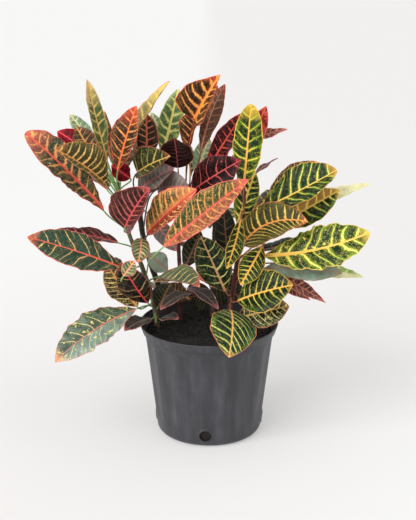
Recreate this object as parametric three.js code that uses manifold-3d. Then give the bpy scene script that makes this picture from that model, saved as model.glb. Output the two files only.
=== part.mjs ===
// A potted croton: a black nursery pot, the soil that fills it, and five leafy stems that stand in the soil.
// Millimetres, +Z up. The origin is the middle of the pot's flat underside, and -Y is the plant's front.
import * as THREE from "three";
import { mergeVertices } from "three/addons/utils/BufferGeometryUtils.js";
import Module from "manifold-3d";

const wasm = await Module();
wasm.setup();

// The pot is a common ten inch nursery pot, 254 mm across its rim.
const POT_HEIGHT = 210;
const RIM_RADIUS = 127;
const RIM_BAND_HEIGHT = 16;
const RIM_BAND_RADIUS = 121.5;
const WALL_TOP_RADIUS = 118;
const BASE_RADIUS = 97;
const BASE_CORNER = 13;
const WALL_THICKNESS = 2.6;
const FLOOR_THICKNESS = 3;
const LIP_ROUND = 0.8;
const LIP_WIDTH = 2.6;
const FLUTE_COUNT = 16;
const FLUTE_DEPTH = 1.8;
const FLUTE_BOTTOM = 25;
const FLUTE_FULL = 50;
const FLUTE_TOP = 188;
const FLUTE_FADE = 10;
const ROUND_SEGMENTS = 48;
const DRAIN_COUNT = 4;
const DRAIN_RADIUS = 11;
const DRAIN_HEIGHT = 24;
const DRAIN_SIDES = 18;
const DRILL_LENGTH = 40;
const DRAIN_ANGLE = THREE.MathUtils.degToRad(-94);

// The soil stands a little below the rim, with clods on it.
const GAP = 0.3;
const SOIL_HEIGHT = 188;
const SOIL_RINGS = [0.9, 0.68, 0.45, 0.22];
const CLOD_COUNT = 70;
const CLOD_HEIGHT = 3.2;
const CLOD_SPREAD = 9;
const CLOD_SEED = 7;

// Stems are rooted this deep, in straight holes.
const STEM_FOOT = 120;
const STEM_HOLE_CLEARANCE = 1;
const STEM_SIDES = 8;
const STEM_HOLE_SIDES = 10;
const STEM_STEPS = 12;

// Leaves are thin folded blades with a rib, on round leaf stalks.
const BLADE_THICKNESS = 0.8;
const RIB_HEIGHT = 0.9;
const STALK_RADIUS = 1.6;
const STALK_HALF_HEIGHT = 0.7;
const STALK_KEEL = 0.8;
const CREST_SHARE = 0.2;
const TIP_HALF_WIDTH = 0.5;
const BLADE_STATIONS = [0.03, 0.15, 0.31, 0.48, 0.66, 0.84, 1];
const STALK_STATIONS = [0, 0.3, 0.65];
const STALK_REACH = 0.38;
const WAVE_HEIGHT = 2;
const WAVES_PER_BLADE = 2.2;
const WAVE_SHIFT = 2.1;
const OUTLINE_BASE = 1.05;
const OUTLINE_TIP = 0.9;

// One leaf: height of its stalk's root on the stem, where the blade starts and ends, its full width,
// how high its rib arches, which way its upper face looks, and how steeply its halves fold up in degrees.
// Rarer shapes: sweep bends the rib sideways, and round and point change the outline at base and tip.
function leaf(root, base, tip, width, arch, facing, fold, rarer = {}) {
  const usual = { sweep: 0, round: OUTLINE_BASE, point: OUTLINE_TIP };
  return { root, base, tip, width, arch, facing, fold, ...usual, ...rarer };
}

const LEFT_STEM = {
  name: "left_stem",
  color: 0x2f4a3c,
  radii: [6, 3],
  route: [
    [-97, 22, 200],
    [-100, 20, 228],
    [-107, 15, 259],
    [-122, 5, 313],
    [-137, 0, 356],
    [-146, 0, 384],
    [-157, 0, 431],
    [-164, 0, 472],
  ],
  leaves: [
    leaf(375, [-185, -25, 425], [-315, -60, 575], 66, 8, [0.7, -0.7, 0.5], 18, { point: 0.62 }),
    leaf(430, [-205, 50, 505], [-275, 70, 550], 46, 5, [0.3, -1, 0.6], 12),
    leaf(440, [-205, 75, 515], [-255, 100, 575], 30, 4, [0.2, -1, 0.6], 10),
    leaf(435, [-195, 0, 500], [-235, 15, 570], 48, 5, [0.2, -1, 0.3], 15),
    leaf(445, [-185, -5, 510], [-215, 10, 655], 34, 5, [0.7, -1, 0.3], 22, { sweep: -4 }),
    leaf(440, [-175, 25, 510], [-185, 30, 595], 30, 4, [-0.6, -1, 0.2], 15),
    leaf(420, [-180, -35, 475], [-260, -100, 555], 84, 8, [0.79, -0.41, 0.45], 35, { round: 0.85 }),
    leaf(440, [-160, -25, 500], [-125, -25, 615], 56, 3, [-0.6, -1, 0.2], 22),
    leaf(440, [-155, 5, 510], [-70, 20, 650], 34, 4, [-1, -0.6, 0.5], 32),
    leaf(375, [-148, -44, 401], [-102, -62, 479], 92, 6, [-0.45, -0.87, 0.48], 38, { round: 0.65 }),
    leaf(345, [-168, -20, 368], [-280, -30, 392], 54, 4, [0, -0.1, 1], 10),
    leaf(310, [-155, -50, 330], [-315, -90, 400], 68, 7, [0, -0.8, 0.8], 8),
    leaf(235, [-130, -10, 240], [-185, -25, 330], 56, 5, [-0.2, -1, 0.4], 10),
    leaf(245, [-110, -30, 255], [-155, -70, 345], 56, 6, [-0.3, -1, 0.4], 10),
    leaf(290, [-150, -85, 325], [-130, -90, 355], 28, 2, [0, -1, 0.2], 8),
    leaf(225, [-130, -30, 245], [-275, -90, 165], 72, 12, [0.2, -0.5, 0.8], 10, { sweep: 8 }),
    leaf(215, [-105, -20, 222], [-150, -85, 222], 36, 6, [0, -0.3, 1], 10),
    leaf(212, [-95, -10, 212], [-55, -60, 235], 32, 6, [0, -0.3, 1], 10),
    leaf(320, [-120, -40, 380], [-125, -70, 345], 34, 6, [0.3, -1, 0.6], 14, { round: 0.6, point: 0.7 }),
    leaf(290, [-80, -93, 380], [65, -148, 515], 66, 5, [-0.35, -0.8, 0.45], 25),
    leaf(270, [-98, -60, 306], [-16, -105, 311], 74, 6, [0, -0.15, 1], 30),
    leaf(280, [-75, 0, 308], [-110, -20, 345], 38, 3, [0, -1, 0.6], 10),
    leaf(225, [-95, 15, 230], [-70, 10, 280], 46, 3, [0, -1, 0.3], 10),
    leaf(440, [-195, 55, 485], [-260, 150, 495], 56, 8, [0, 0.5, 0.8], 10),
    leaf(425, [-185, 50, 445], [-245, 170, 450], 60, 8, [0, 0.4, 0.9], 10),
    leaf(445, [-160, 50, 475], [-165, 170, 500], 50, 6, [0, 0.5, 0.6], 10),
    leaf(455, [-140, 5, 478], [-172, -18, 508], 34, 3, [0, -1, 0.4], 10),
    leaf(300, [-150, 50, 275], [-245, 130, 300], 60, 8, [0, 0.2, 1], 10),
    leaf(270, [-140, 60, 232], [-200, 160, 235], 54, 8, [0, 0.2, 1], 10),
  ],
};

const CENTRE_LEFT_STEM = {
  name: "centre_left_stem",
  color: 0x3a3a2c,
  radii: [6.5, 4.5],
  route: [
    [-73, 45, 200],
    [-91, 40, 256],
    [-109, 32, 317],
    [-120, 25, 364],
    [-126, 20, 425],
    [-122, 15, 473],
  ],
  leaves: [
    leaf(320, [-110, -40, 385], [-20, -78, 480], 74, 6, [-0.5, -0.75, 0.5], 36),
    leaf(400, [-112, 20, 500], [-112, 30, 592], 42, 4, [0.3, -1, 0.3], 14),
    leaf(400, [-126, -20, 495], [-66, -60, 534], 68, 6, [-0.3, -0.8, 0.55], 38, { round: 0.75 }),
    leaf(390, [-125, -10, 460], [-60, -50, 510], 56, 6, [-0.4, -0.8, 0.5], 30),
    leaf(370, [-90, -20, 465], [-35, -60, 480], 56, 5, [-0.1, -0.8, 0.6], 30),
    leaf(410, [-85, 45, 505], [-55, 60, 630], 44, 4, [0.1, -1, 0.3], 14),
    leaf(430, [-80, 60, 535], [-105, 70, 585], 20, 2, [0, -1, 0.5], 10),
    leaf(400, [-112, 4, 416], [-58, -6, 346], 34, 3, [0, -1, 0.5], 8),
    leaf(410, [-115, 60, 465], [-125, 150, 525], 50, 6, [0, 0.5, 0.6], 10),
    leaf(395, [-110, 60, 435], [-95, 190, 430], 58, 8, [0, 0.3, 1], 10),
    leaf(300, [-95, 60, 245], [-110, 170, 222], 52, 8, [0, 0.3, 1], 10),
  ],
};

const CENTRE_STEM = {
  name: "centre_stem",
  color: 0x3a2026,
  radii: [4.8, 3],
  route: [
    [-55, 60, 200],
    [-54, 60, 269],
    [-56, 60, 347],
    [-46, 50, 408],
    [-35, 35, 459],
  ],
  leaves: [
    leaf(420, [-24, -10, 588], [20, -30, 670], 94, 5, [-0.6, -0.8, 0.1], 42, { round: 0.55, point: 1.15 }),
    leaf(410, [-36, 15, 528], [-18, 30, 600], 50, 4, [-0.6, -0.8, 0.1], 42),
    leaf(420, [-15, 10, 525], [30, 20, 645], 36, 4, [0.4, 0.8, 0.2], 16, { sweep: 9 }),
    leaf(420, [-15, 30, 520], [15, 35, 640], 26, 4, [0.6, 0.7, 0.2], 16, { sweep: 5 }),
    leaf(410, [-55, -12, 502], [-60, -77, 570], 62, -8, [0, -0.3, -1], 14, { round: 0.65 }),
    leaf(390, [-10, 10, 490], [60, 0, 600], 48, 4, [-0.3, -1, 0.4], 14),
    leaf(370, [-30, -10, 460], [55, -50, 525], 68, 6, [0, -1, 0.5], 12, { round: 0.85 }),
    leaf(240, [-30, -15, 268], [-87, -80, 260], 28, 10, [0, -0.3, 1], 14),
    leaf(255, [-42, 5, 272], [17, -62, 254], 28, 12, [0, -0.3, 1], 12),
    leaf(230, [-35, 35, 240], [-85, 30, 270], 34, 3, [0, -1, 0.3], 10),
    leaf(300, [-45, 20, 305], [-15, 25, 375], 38, 4, [0, -1, 0.3], 10),
    leaf(400, [-25, 90, 460], [0, 110, 530], 36, 4, [0, -1, 0.4], 10),
    leaf(430, [-35, 80, 460], [-55, 160, 545], 50, 6, [0, 0.5, 0.6], 10),
    leaf(410, [-20, 80, 440], [25, 190, 470], 56, 8, [0, 0.4, 0.9], 10),
  ],
};

const RIGHT_STEM = {
  name: "right_stem",
  color: 0x3c5a30,
  radii: [6.5, 3.4],
  route: [
    [37, 20, 200],
    [40, 18, 244],
    [46, 12, 276],
    [51, 5, 322],
    [56, 0, 356],
    [63, 0, 394],
    [62, -2, 441],
    [60, -8, 468],
  ],
  leaves: [
    leaf(400, [61, -35, 480], [72, -35, 620], 52, 4, [0, -1, 0.3], 12, { round: 0.6, point: 0.55 }),
    leaf(355, [50, -5, 395], [85, 10, 490], 44, 4, [0, -1, 0.4], 10),
    leaf(400, [58, 30, 510], [101, 25, 605], 38, 5, [0.2, -1, 0.4], 10),
    leaf(400, [50, 50, 530], [140, 40, 560], 24, 3, [0, -0.6, 1], 10),
    leaf(380, [108, 70, 431], [199, 75, 492], 44, 5, [-0.2, -0.8, 0.6], 14),
    leaf(385, [65, 40, 455], [125, 50, 505], 13, 6, [0, -0.2, 1], 10),
    leaf(360, [90, 0, 420], [225, -20, 500], 88, 6, [-0.25, -0.6, 0.75], 24, { sweep: 7, round: 0.95 }),
    leaf(345, [120, 45, 400], [295, 60, 455], 30, 3, [0, -0.6, 1], 10),
    leaf(325, [60, -55, 375], [170, -100, 428], 78, 14, [-0.1, -0.7, 0.7], 10, { sweep: -14, round: 0.6 }),
    leaf(340, [115, 20, 380], [235, 0, 455], 70, 5, [-0.1, -0.95, 0.1], 16),
    leaf(290, [95, -45, 350], [280, -75, 405], 82, 8, [0, -0.8, 0.7], 8, { sweep: 12 }),
    leaf(275, [95, -40, 322], [235, -60, 320], 58, 8, [0, -0.65, 0.8], 8),
    leaf(285, [120, 20, 315], [285, 30, 285], 36, 4, [0, -0.6, 1], 8),
    leaf(285, [105, -5, 310], [212, -20, 252], 27, 6, [0, -0.7, 0.8], 10, { point: 1.1 }),
    leaf(280, [100, 5, 295], [185, -5, 252], 25, 6, [0, -0.7, 0.8], 10, { point: 1.1 }),
    leaf(245, [50, -60, 270], [145, -115, 319], 78, 8, [0, -0.8, 0.6], 8),
    leaf(235, [50, -50, 233], [148, -62, 262], 64, 8, [0.2, -0.8, 0.5], 12),
    leaf(235, [38, -50, 250], [34, -150, 198], 84, 18, [0.28, -0.5, 0.85], 8),
    leaf(320, [95, -50, 370], [55, -90, 310], 44, 6, [0, -1, 0.4], 12),
    leaf(340, [55, -60, 425], [30, -90, 340], 34, 5, [0.5, -1, 0.3], 18),
    leaf(300, [35, 10, 315], [25, 10, 430], 40, 3, [0, -1, 0.2], 8),
    leaf(250, [30, -25, 275], [-15, -40, 385], 64, 5, [0, -1, 0.3], 10),
    leaf(380, [80, 45, 405], [170, 150, 425], 60, 8, [0, 0.3, 1], 10),
    leaf(350, [80, 45, 365], [210, 110, 385], 60, 8, [0, 0, 1], 10),
    leaf(320, [75, 50, 325], [230, 110, 320], 60, 8, [0, 0, 1], 10),
    leaf(290, [70, 60, 280], [145, 160, 230], 56, 8, [0, 0.2, 1], 10),
  ],
};

const BACK_STEM = {
  name: "back_stem",
  color: 0x46502c,
  radii: [4.8, 3],
  route: [
    [6, 80, 200],
    [9, 85, 281],
    [9, 88, 349],
    [13, 90, 416],
  ],
  leaves: [
    leaf(410, [25, 100, 430], [70, 160, 505], 50, 6, [0, 0.5, 0.6], 10),
    leaf(400, [10, 110, 400], [10, 230, 410], 60, 8, [0, 0.3, 1], 10),
    leaf(380, [25, 100, 370], [90, 210, 360], 58, 8, [0, 0.2, 1], 10),
    leaf(370, [0, 100, 360], [-35, 200, 360], 58, 8, [0, 0.3, 1], 10),
    leaf(340, [0, 100, 315], [-50, 200, 290], 54, 8, [0, 0.2, 1], 10),
    leaf(320, [15, 110, 275], [25, 220, 255], 58, 8, [0, 0.2, 1], 10),
    leaf(290, [-5, 100, 250], [-60, 190, 230], 54, 8, [0, 0.2, 1], 10),
    leaf(270, [25, 95, 250], [105, 170, 232], 56, 8, [0, 0.1, 1], 10),
    leaf(222, [8, 70, 240], [-44, 80, 228], 56, 5, [0, -1, 0.25], 8),
    leaf(228, [4, 64, 268], [62, 60, 234], 58, 5, [0, -1, 0.25], 8),
  ],
};

const STEMS = [LEFT_STEM, CENTRE_LEFT_STEM, CENTRE_STEM, RIGHT_STEM, BACK_STEM];

// A closed geometry as a solid, with its faces turned outwards and collapsed triangles dropped.
function solidOf(geometry) {
  const bare = geometry.clone();
  bare.deleteAttribute("normal");
  bare.deleteAttribute("uv");
  const merged = mergeVertices(bare, 1e-4);
  const position = merged.attributes.position;
  const [a, b, c] = [new THREE.Vector3(), new THREE.Vector3(), new THREE.Vector3()];
  const triangles = [];
  let volume = 0;
  for (let i = 0; i < merged.index.count; i += 3) {
    const [p, q, r] = merged.index.array.slice(i, i + 3);
    if (p === q || q === r || r === p) {
      continue;
    }
    a.fromBufferAttribute(position, p);
    b.fromBufferAttribute(position, q);
    c.fromBufferAttribute(position, r);
    volume += a.dot(b.cross(c)) / 6;
    triangles.push([p, q, r]);
  }
  const outward = volume > 0 ? triangles : triangles.map(([p, q, r]) => [p, r, q]);
  const triVerts = new Uint32Array(outward.flat());
  return new wasm.Manifold(new wasm.Mesh({ numProp: 3, vertProperties: position.array, triVerts }));
}

function meshOf(solid, name, color, roughness) {
  const { numProp, vertProperties, triVerts } = solid.getMesh();
  const positions = new Float32Array((vertProperties.length / numProp) * 3);
  for (let i = 0; i < positions.length / 3; i++) {
    positions.set(vertProperties.subarray(i * numProp, i * numProp + 3), i * 3);
  }
  const geometry = new THREE.BufferGeometry();
  geometry.setAttribute("position", new THREE.BufferAttribute(positions, 3));
  geometry.setIndex(new THREE.BufferAttribute(triVerts, 1));
  geometry.computeVertexNormals();
  const mesh = new THREE.Mesh(geometry, new THREE.MeshStandardMaterial({ color, roughness, metalness: 0 }));
  mesh.name = name;
  return mesh;
}

// Rings of points, all of one length, skinned into a closed body. The quads listed in mirrored are split
// along their other diagonal, so that the two faces of a thin blade are split alike.
function loft(rings, mirrored = []) {
  const count = rings[0].length;
  const index = [];
  for (let i = 0; i < rings.length - 1; i++) {
    for (let k = 0; k < count; k++) {
      const a = i * count + k;
      const b = i * count + ((k + 1) % count);
      const c = b + count;
      const d = a + count;
      const split = mirrored.includes(k) ? [a, b, d, b, c, d] : [a, b, c, a, c, d];
      index.push(...split);
    }
  }
  const last = (rings.length - 1) * count;
  for (let k = 1; k < count - 1; k++) {
    index.push(0, k + 1, k);
    index.push(last, last + k, last + k + 1);
  }
  const geometry = new THREE.BufferGeometry();
  const coordinates = rings.flat().flatMap((point) => point.toArray());
  geometry.setAttribute("position", new THREE.Float32BufferAttribute(coordinates, 3));
  geometry.setIndex(index);
  return geometry;
}

// A profile of radius and height pairs, turned about the vertical axis.
function turned(profile) {
  const points = profile.map(([radius, height]) => new THREE.Vector2(radius, height));
  return new THREE.LatheGeometry(points, ROUND_SEGMENTS).rotateX(Math.PI / 2);
}

function wallRadius(height) {
  const wallTop = POT_HEIGHT - RIM_BAND_HEIGHT - 2;
  return THREE.MathUtils.mapLinear(height, BASE_CORNER, wallTop, BASE_RADIUS, WALL_TOP_RADIUS);
}

function innerRadius(height) {
  return wallRadius(height) - WALL_THICKNESS;
}

function makePot() {
  const bandBottom = POT_HEIGHT - RIM_BAND_HEIGHT;
  const corner = [0, 30, 60, 90].map((degrees) => {
    const angle = THREE.MathUtils.degToRad(degrees);
    return [BASE_RADIUS - BASE_CORNER * (1 - Math.sin(angle)), BASE_CORNER * (1 - Math.cos(angle))];
  });
  const wallHeights = [FLUTE_BOTTOM, FLUTE_FULL, FLUTE_TOP - FLUTE_FADE, bandBottom - 2];
  const rimInner = RIM_RADIUS - LIP_WIDTH;
  const pot = turned([
    [0, 0],
    ...corner,
    ...wallHeights.map((height) => [wallRadius(height), height]),
    [RIM_BAND_RADIUS, bandBottom],
    [RIM_RADIUS, POT_HEIGHT - LIP_ROUND],
    [RIM_RADIUS - LIP_ROUND, POT_HEIGHT],
    [rimInner + LIP_ROUND, POT_HEIGHT],
    [rimInner, POT_HEIGHT - LIP_ROUND],
    [RIM_BAND_RADIUS - 1, bandBottom + WALL_THICKNESS + 1],
    [innerRadius(bandBottom - 3), bandBottom - 3],
    [innerRadius(BASE_CORNER), BASE_CORNER],
    [innerRadius(BASE_CORNER) - BASE_CORNER + FLOOR_THICKNESS, FLOOR_THICKNESS],
    [0, FLOOR_THICKNESS],
  ]);
  // Flutes are shallow grooves that run down the outside of the wall.
  const position = pot.attributes.position;
  for (let i = 0; i < position.count; i++) {
    const [x, y, z] = [position.getX(i), position.getY(i), position.getZ(i)];
    const radius = Math.hypot(x, y);
    const onOuterWall = z > FLUTE_BOTTOM + 1 && z < FLUTE_TOP - 1 && radius > wallRadius(z) - 0.5;
    if (onOuterWall) {
      const groove = (FLUTE_DEPTH * (1 + Math.cos(FLUTE_COUNT * Math.atan2(y, x)))) / 2;
      position.setXY(i, x * (1 - groove / radius), y * (1 - groove / radius));
    }
  }
  let solid = solidOf(pot);
  for (let k = 0; k < DRAIN_COUNT; k++) {
    const angle = DRAIN_ANGLE + (k * 2 * Math.PI) / DRAIN_COUNT;
    const drill = new THREE.CylinderGeometry(DRAIN_RADIUS, DRAIN_RADIUS, DRILL_LENGTH, DRAIN_SIDES);
    drill.rotateZ(Math.PI / 2);
    drill.translate(BASE_RADIUS, 0, DRAIN_HEIGHT);
    drill.rotateZ(angle);
    solid = solid.subtract(solidOf(drill));
  }
  return meshOf(solid, "pot", 0x57575c, 0.55);
}

function seededDraws(seed) {
  let state = seed;
  return () => {
    state = (Math.imul(state, 1664525) + 1013904223) >>> 0;
    return state / 4294967296;
  };
}

function stemHole(stem) {
  const [x, y] = stem.route[0];
  const radius = stem.radii[0] + STEM_HOLE_CLEARANCE;
  const depth = POT_HEIGHT - STEM_FOOT + GAP;
  const hole = new THREE.CylinderGeometry(radius, radius, depth, STEM_HOLE_SIDES);
  hole.rotateX(Math.PI / 2);
  hole.translate(x, y, STEM_FOOT - GAP + depth / 2);
  return solidOf(hole);
}

function makeSoil() {
  const topRadius = innerRadius(SOIL_HEIGHT) - GAP;
  const cornerRadius = innerRadius(BASE_CORNER) - GAP;
  const soil = turned([
    [0, FLOOR_THICKNESS + GAP],
    [cornerRadius - BASE_CORNER + FLOOR_THICKNESS, FLOOR_THICKNESS + GAP],
    [cornerRadius, BASE_CORNER + GAP],
    [topRadius, SOIL_HEIGHT],
    ...SOIL_RINGS.map((share) => [topRadius * share, SOIL_HEIGHT]),
    [0, SOIL_HEIGHT],
  ]);
  const draw = seededDraws(CLOD_SEED);
  const clods = Array.from({ length: CLOD_COUNT }, () => {
    const radius = topRadius * Math.sqrt(draw());
    const angle = 2 * Math.PI * draw();
    return [radius * Math.cos(angle), radius * Math.sin(angle), CLOD_HEIGHT * (0.4 + draw())];
  });
  const position = soil.attributes.position;
  for (let i = 0; i < position.count; i++) {
    const [x, y, z] = [position.getX(i), position.getY(i), position.getZ(i)];
    if (z < SOIL_HEIGHT - 1 || Math.hypot(x, y) > topRadius - 1) {
      continue;
    }
    const lifts = clods.map(([u, v, height]) => {
      const away = Math.hypot(x - u, y - v) / CLOD_SPREAD;
      return height * Math.exp(-away * away);
    });
    position.setZ(i, z + Math.max(0, ...lifts));
  }
  const holes = STEMS.map(stemHole);
  const solid = holes.reduce((body, hole) => body.subtract(hole), solidOf(soil));
  return meshOf(solid, "potting_soil", 0x2b231e, 0.95);
}

function stemCurve(stem) {
  const points = stem.route.map((point) => new THREE.Vector3(...point));
  const foot = points[0].clone().setZ(STEM_FOOT);
  const sill = points[0].clone().setZ((STEM_FOOT + points[0].z) / 2);
  return new THREE.CatmullRomCurve3([foot, sill, ...points]);
}

function makeStem(stem, curve) {
  const rings = [];
  const [thick, thin] = stem.radii;
  for (let i = 0; i <= STEM_STEPS; i++) {
    const centre = curve.getPointAt(i / STEM_STEPS);
    const along = curve.getTangentAt(i / STEM_STEPS);
    const across = new THREE.Vector3(1, 0, 0).projectOnPlane(along).normalize();
    const up = along.clone().cross(across);
    const radius = THREE.MathUtils.lerp(thick, thin, i / STEM_STEPS);
    const ring = [];
    for (let k = 0; k < STEM_SIDES; k++) {
      const angle = (2 * Math.PI * k) / STEM_SIDES;
      const point = centre.clone().addScaledVector(across, radius * Math.cos(angle));
      ring.push(point.addScaledVector(up, radius * Math.sin(angle)));
    }
    rings.push(ring);
  }
  return solidOf(loft(rings));
}

function pointAtHeight(curve, height) {
  const points = curve.getSpacedPoints(200);
  return points.find((point) => point.z >= height) ?? points[points.length - 1];
}

// The blade's outline: half its width at a share of its length, 1 where it is widest.
function outline(share, round, point) {
  const widest = round / (round + point);
  return (share / widest) ** round * ((1 - share) / (1 - widest)) ** point;
}

// Six points round one section: upper left, rib and right, then lower right, keel and left.
function section(centre, side, normal, halfWidth, fold, wave, half, rib) {
  const at = (across, lift) => centre.clone().addScaledVector(side, across).addScaledVector(normal, lift);
  const reach = halfWidth * Math.cos(fold);
  const rise = halfWidth * Math.sin(fold);
  const [left, right] = [rise + wave[0], rise + wave[1]];
  return [
    at(-reach, left + half),
    at(0, half + rib * CREST_SHARE),
    at(reach, right + half),
    at(reach, right - half),
    at(0, -half - rib),
    at(-reach, left - half),
  ];
}

function makeLeaf(shape, root) {
  const base = new THREE.Vector3(...shape.base);
  const tip = new THREE.Vector3(...shape.tip);
  const chord = tip.clone().sub(base);
  const length = chord.length();
  chord.normalize();
  const face = new THREE.Vector3(...shape.facing).projectOnPlane(chord).normalize();
  const side = chord.clone().cross(face);
  const control = (share) => {
    const point = base.clone().addScaledVector(chord, length * share);
    return point.addScaledVector(face, (4 / 3) * shape.arch).addScaledVector(side, (4 / 3) * shape.sweep);
  };
  const rib = new THREE.CubicBezierCurve3(base, control(1 / 3), control(2 / 3), tip);
  const fold = THREE.MathUtils.degToRad(shape.fold);
  const startAlong = rib.getTangent(0);
  const reach = root.distanceTo(base) * STALK_REACH;
  const outwards = base.clone().sub(root).normalize().add(new THREE.Vector3(0, 0, 0.5)).normalize();
  const stalk = new THREE.CubicBezierCurve3(
    root,
    root.clone().addScaledVector(outwards, reach),
    base.clone().addScaledVector(startAlong, -reach),
    base,
  );
  const rings = STALK_STATIONS.map((t) => {
    const along = stalk.getTangent(t);
    const across = side.clone().projectOnPlane(along).normalize();
    const up = across.clone().cross(along);
    return section(stalk.getPoint(t), across, up, STALK_RADIUS, 0, [0, 0], STALK_HALF_HEIGHT, STALK_KEEL);
  });
  for (const t of BLADE_STATIONS) {
    const along = rib.getTangent(t);
    const normal = face.clone().projectOnPlane(along).normalize();
    const across = along.clone().cross(normal);
    const halfWidth = Math.max((shape.width / 2) * outline(t, shape.round, shape.point), 0);
    const swing = 2 * Math.PI * WAVES_PER_BLADE * t;
    const height = WAVE_HEIGHT * Math.sin(Math.PI * t);
    const wave = [height * Math.sin(swing), height * Math.sin(swing + WAVE_SHIFT)];
    const least = t < 0.5 ? STALK_RADIUS : TIP_HALF_WIDTH;
    const reachOut = Math.max(halfWidth, least);
    const centre = rib.getPoint(t);
    rings.push(section(centre, across, normal, reachOut, fold, wave, BLADE_THICKNESS / 2, RIB_HEIGHT));
  }
  return solidOf(loft(rings, [3, 4]));
}

function makeLeafyStem(stem) {
  const curve = stemCurve(stem);
  const leaves = stem.leaves.map((shape) => makeLeaf(shape, pointAtHeight(curve, shape.root)));
  const solid = leaves.reduce((body, blade) => body.add(blade), makeStem(stem, curve));
  return meshOf(solid, stem.name, stem.color, 0.45);
}

const pottedCroton = new THREE.Group();
pottedCroton.add(makePot(), makeSoil(), ...STEMS.map(makeLeafyStem));

export default pottedCroton;
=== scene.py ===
"""The potted croton, dressed: veined waxy leaves on thin stems, crumbly soil and a black nursery pot."""

import math

import bpy
import numpy as np
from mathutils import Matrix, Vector, noise


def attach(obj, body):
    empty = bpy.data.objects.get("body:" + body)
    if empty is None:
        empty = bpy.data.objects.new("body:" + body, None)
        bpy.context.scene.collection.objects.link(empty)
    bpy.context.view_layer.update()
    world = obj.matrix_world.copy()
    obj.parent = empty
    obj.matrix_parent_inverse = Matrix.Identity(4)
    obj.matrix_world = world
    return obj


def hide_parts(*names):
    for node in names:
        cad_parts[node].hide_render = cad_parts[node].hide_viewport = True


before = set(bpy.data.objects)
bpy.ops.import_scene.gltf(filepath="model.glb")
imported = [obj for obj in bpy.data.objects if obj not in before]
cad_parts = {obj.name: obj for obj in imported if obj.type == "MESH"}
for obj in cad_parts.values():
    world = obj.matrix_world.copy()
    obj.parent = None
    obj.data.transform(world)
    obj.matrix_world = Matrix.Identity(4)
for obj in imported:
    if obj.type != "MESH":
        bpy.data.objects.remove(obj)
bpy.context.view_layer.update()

MM = 0.001

# The pot, in millimetres, as in the CAD model, with flutes that reach a little lower.
POT_HEIGHT = 210
RIM_RADIUS = 127
RIM_BAND_HEIGHT = 16
RIM_BAND_RADIUS = 121.5
RIM_STEP_RADIUS = 1.6
RIM_EDGE_RADIUS = 1.2
WALL_TOP_RADIUS = 118
BASE_RADIUS = 97
BASE_CORNER = 13
WALL_THICKNESS = 2.6
FLOOR_THICKNESS = 3
LIP_WIDTH = 2.6
FLUTE_COUNT = 16
FLUTE_DEPTH = 1.8
FLUTE_BOTTOM = 14
FLUTE_FULL = 50
FLUTE_TOP = 187
FLUTE_ARCH = 9
DRAIN_COUNT = 4
DRAIN_RADIUS = 11
DRAIN_HEIGHT = 24
DRAIN_ANGLE = math.radians(-94)
DRAIN_SIDES = 40
DRILL_REACH = 20
HOLE_LIP = 2.0
HOLE_LIP_SPREAD = 2.4
ROUND_STEPS = 320
SHARP_MOULDING = math.radians(40)

# The soil, in millimetres. Each kind of lump has its size, its layer of the noise, and its height.
SOIL_HEIGHT = 188
SOIL_GAP = 0.3
SOIL_LUMPS = ((34, 3.0, 1.6), (11, 9.0, 1.6), (4.5, 20.0, 1.1))
SOIL_RISE = 1.5
SOIL_SEED = 11
SOIL_RINGS = 64
SOIL_SIDES = 144
CRUMB_COUNT = 420
CRUMB_SIZES = (1.6, 2.4, 3.4, 4.6)
CRUMB_SHARES = (0.4, 0.3, 0.2, 0.1)
CRUMB_STRETCH = (0.55, 1.25)
CRUMB_ROUGHNESS = (0.75, 1.2)
CRUMB_MARGIN = 6
CRUMB_LIFT = 0.1

# Stems and leaves, in millimetres or shares. Blades and stalks are a little thinner than in the CAD model.
STEM_FOOT = 120
STEM_SEED = 100
SCAR_SPACING = 17
BARK_SIDES = 16
BARK_ROWS = 150
STALK_SIDES = 8
STALK_ROWS = 14
STALK_RADIUS = 1.35
STALK_REACH = 0.38
STALK_LIFT = 0.5
STALK_SWELLING = 0.5
SWELLING_LENGTH = 7
RIB_ROWS = 26
RIB_SHARE = 0.55
RIB_FLATNESS = 0.25
RIB_TIP_RADIUS = 0.35
RIB_PROUD = 0.35
BLADE_THICKNESS = 0.7
BLADE_START = 0.006
BLADE_END = 0.996
NARROWEST = 0.45
ROW_LENGTH = 2.2
ROW_LIMITS = (22, 90)
COLUMNS = 17
COLUMN_CROWDING = 1.25
OUTLINE_BASE = 1.05
OUTLINE_TIP = 0.9
WAVE_HEIGHT = 2
WAVES_PER_BLADE = 2.2
WAVE_SHIFT = 2.1
CUPPING = 0.07
QUILTING = 0.4
FOLD_SOFTNESS = 0.004
RAGGED_DEPTH = 0.07
RAGGED_WAVES = (34, 15)
FRILL_HEIGHT = 1.4
FRILL_WAVES = (24, 13)
SHARP_BLADE = math.radians(50)

# Veins, in millimetres, apart from the slant and the bend, which is a share of the space between two veins.
VEIN_SLANT = 0.5
VEIN_CURVE = 0.006
VEIN_STAGGER = 2.6
VEIN_BEND = 0.8
VEIN_JAG = 2.2
VEIN_SPACING = (6.5, 24)
VEIN_REACH = 0.68
VEIN_REACH_SPREAD = 0.45
VEIN_BREADTHS = (0.26, 0.62)
MINOR_VEIN_EDGES = (0.9, 0.3)
RIB_TAPER_LENGTH = 130.0
MARGIN_WIDTHS = (0.4, 1.9)
PATCH_DEPTHS = (12.0, 2.0)

RED = (198, 44, 52)
ROSE = (200, 84, 86)
BARK = (116, 94, 72)
RED_BARK = (96, 50, 40)
DARK_BARK = (50, 38, 32)
COLOURS = ("blade", "vein", "margin", "rib", "glow")


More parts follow.
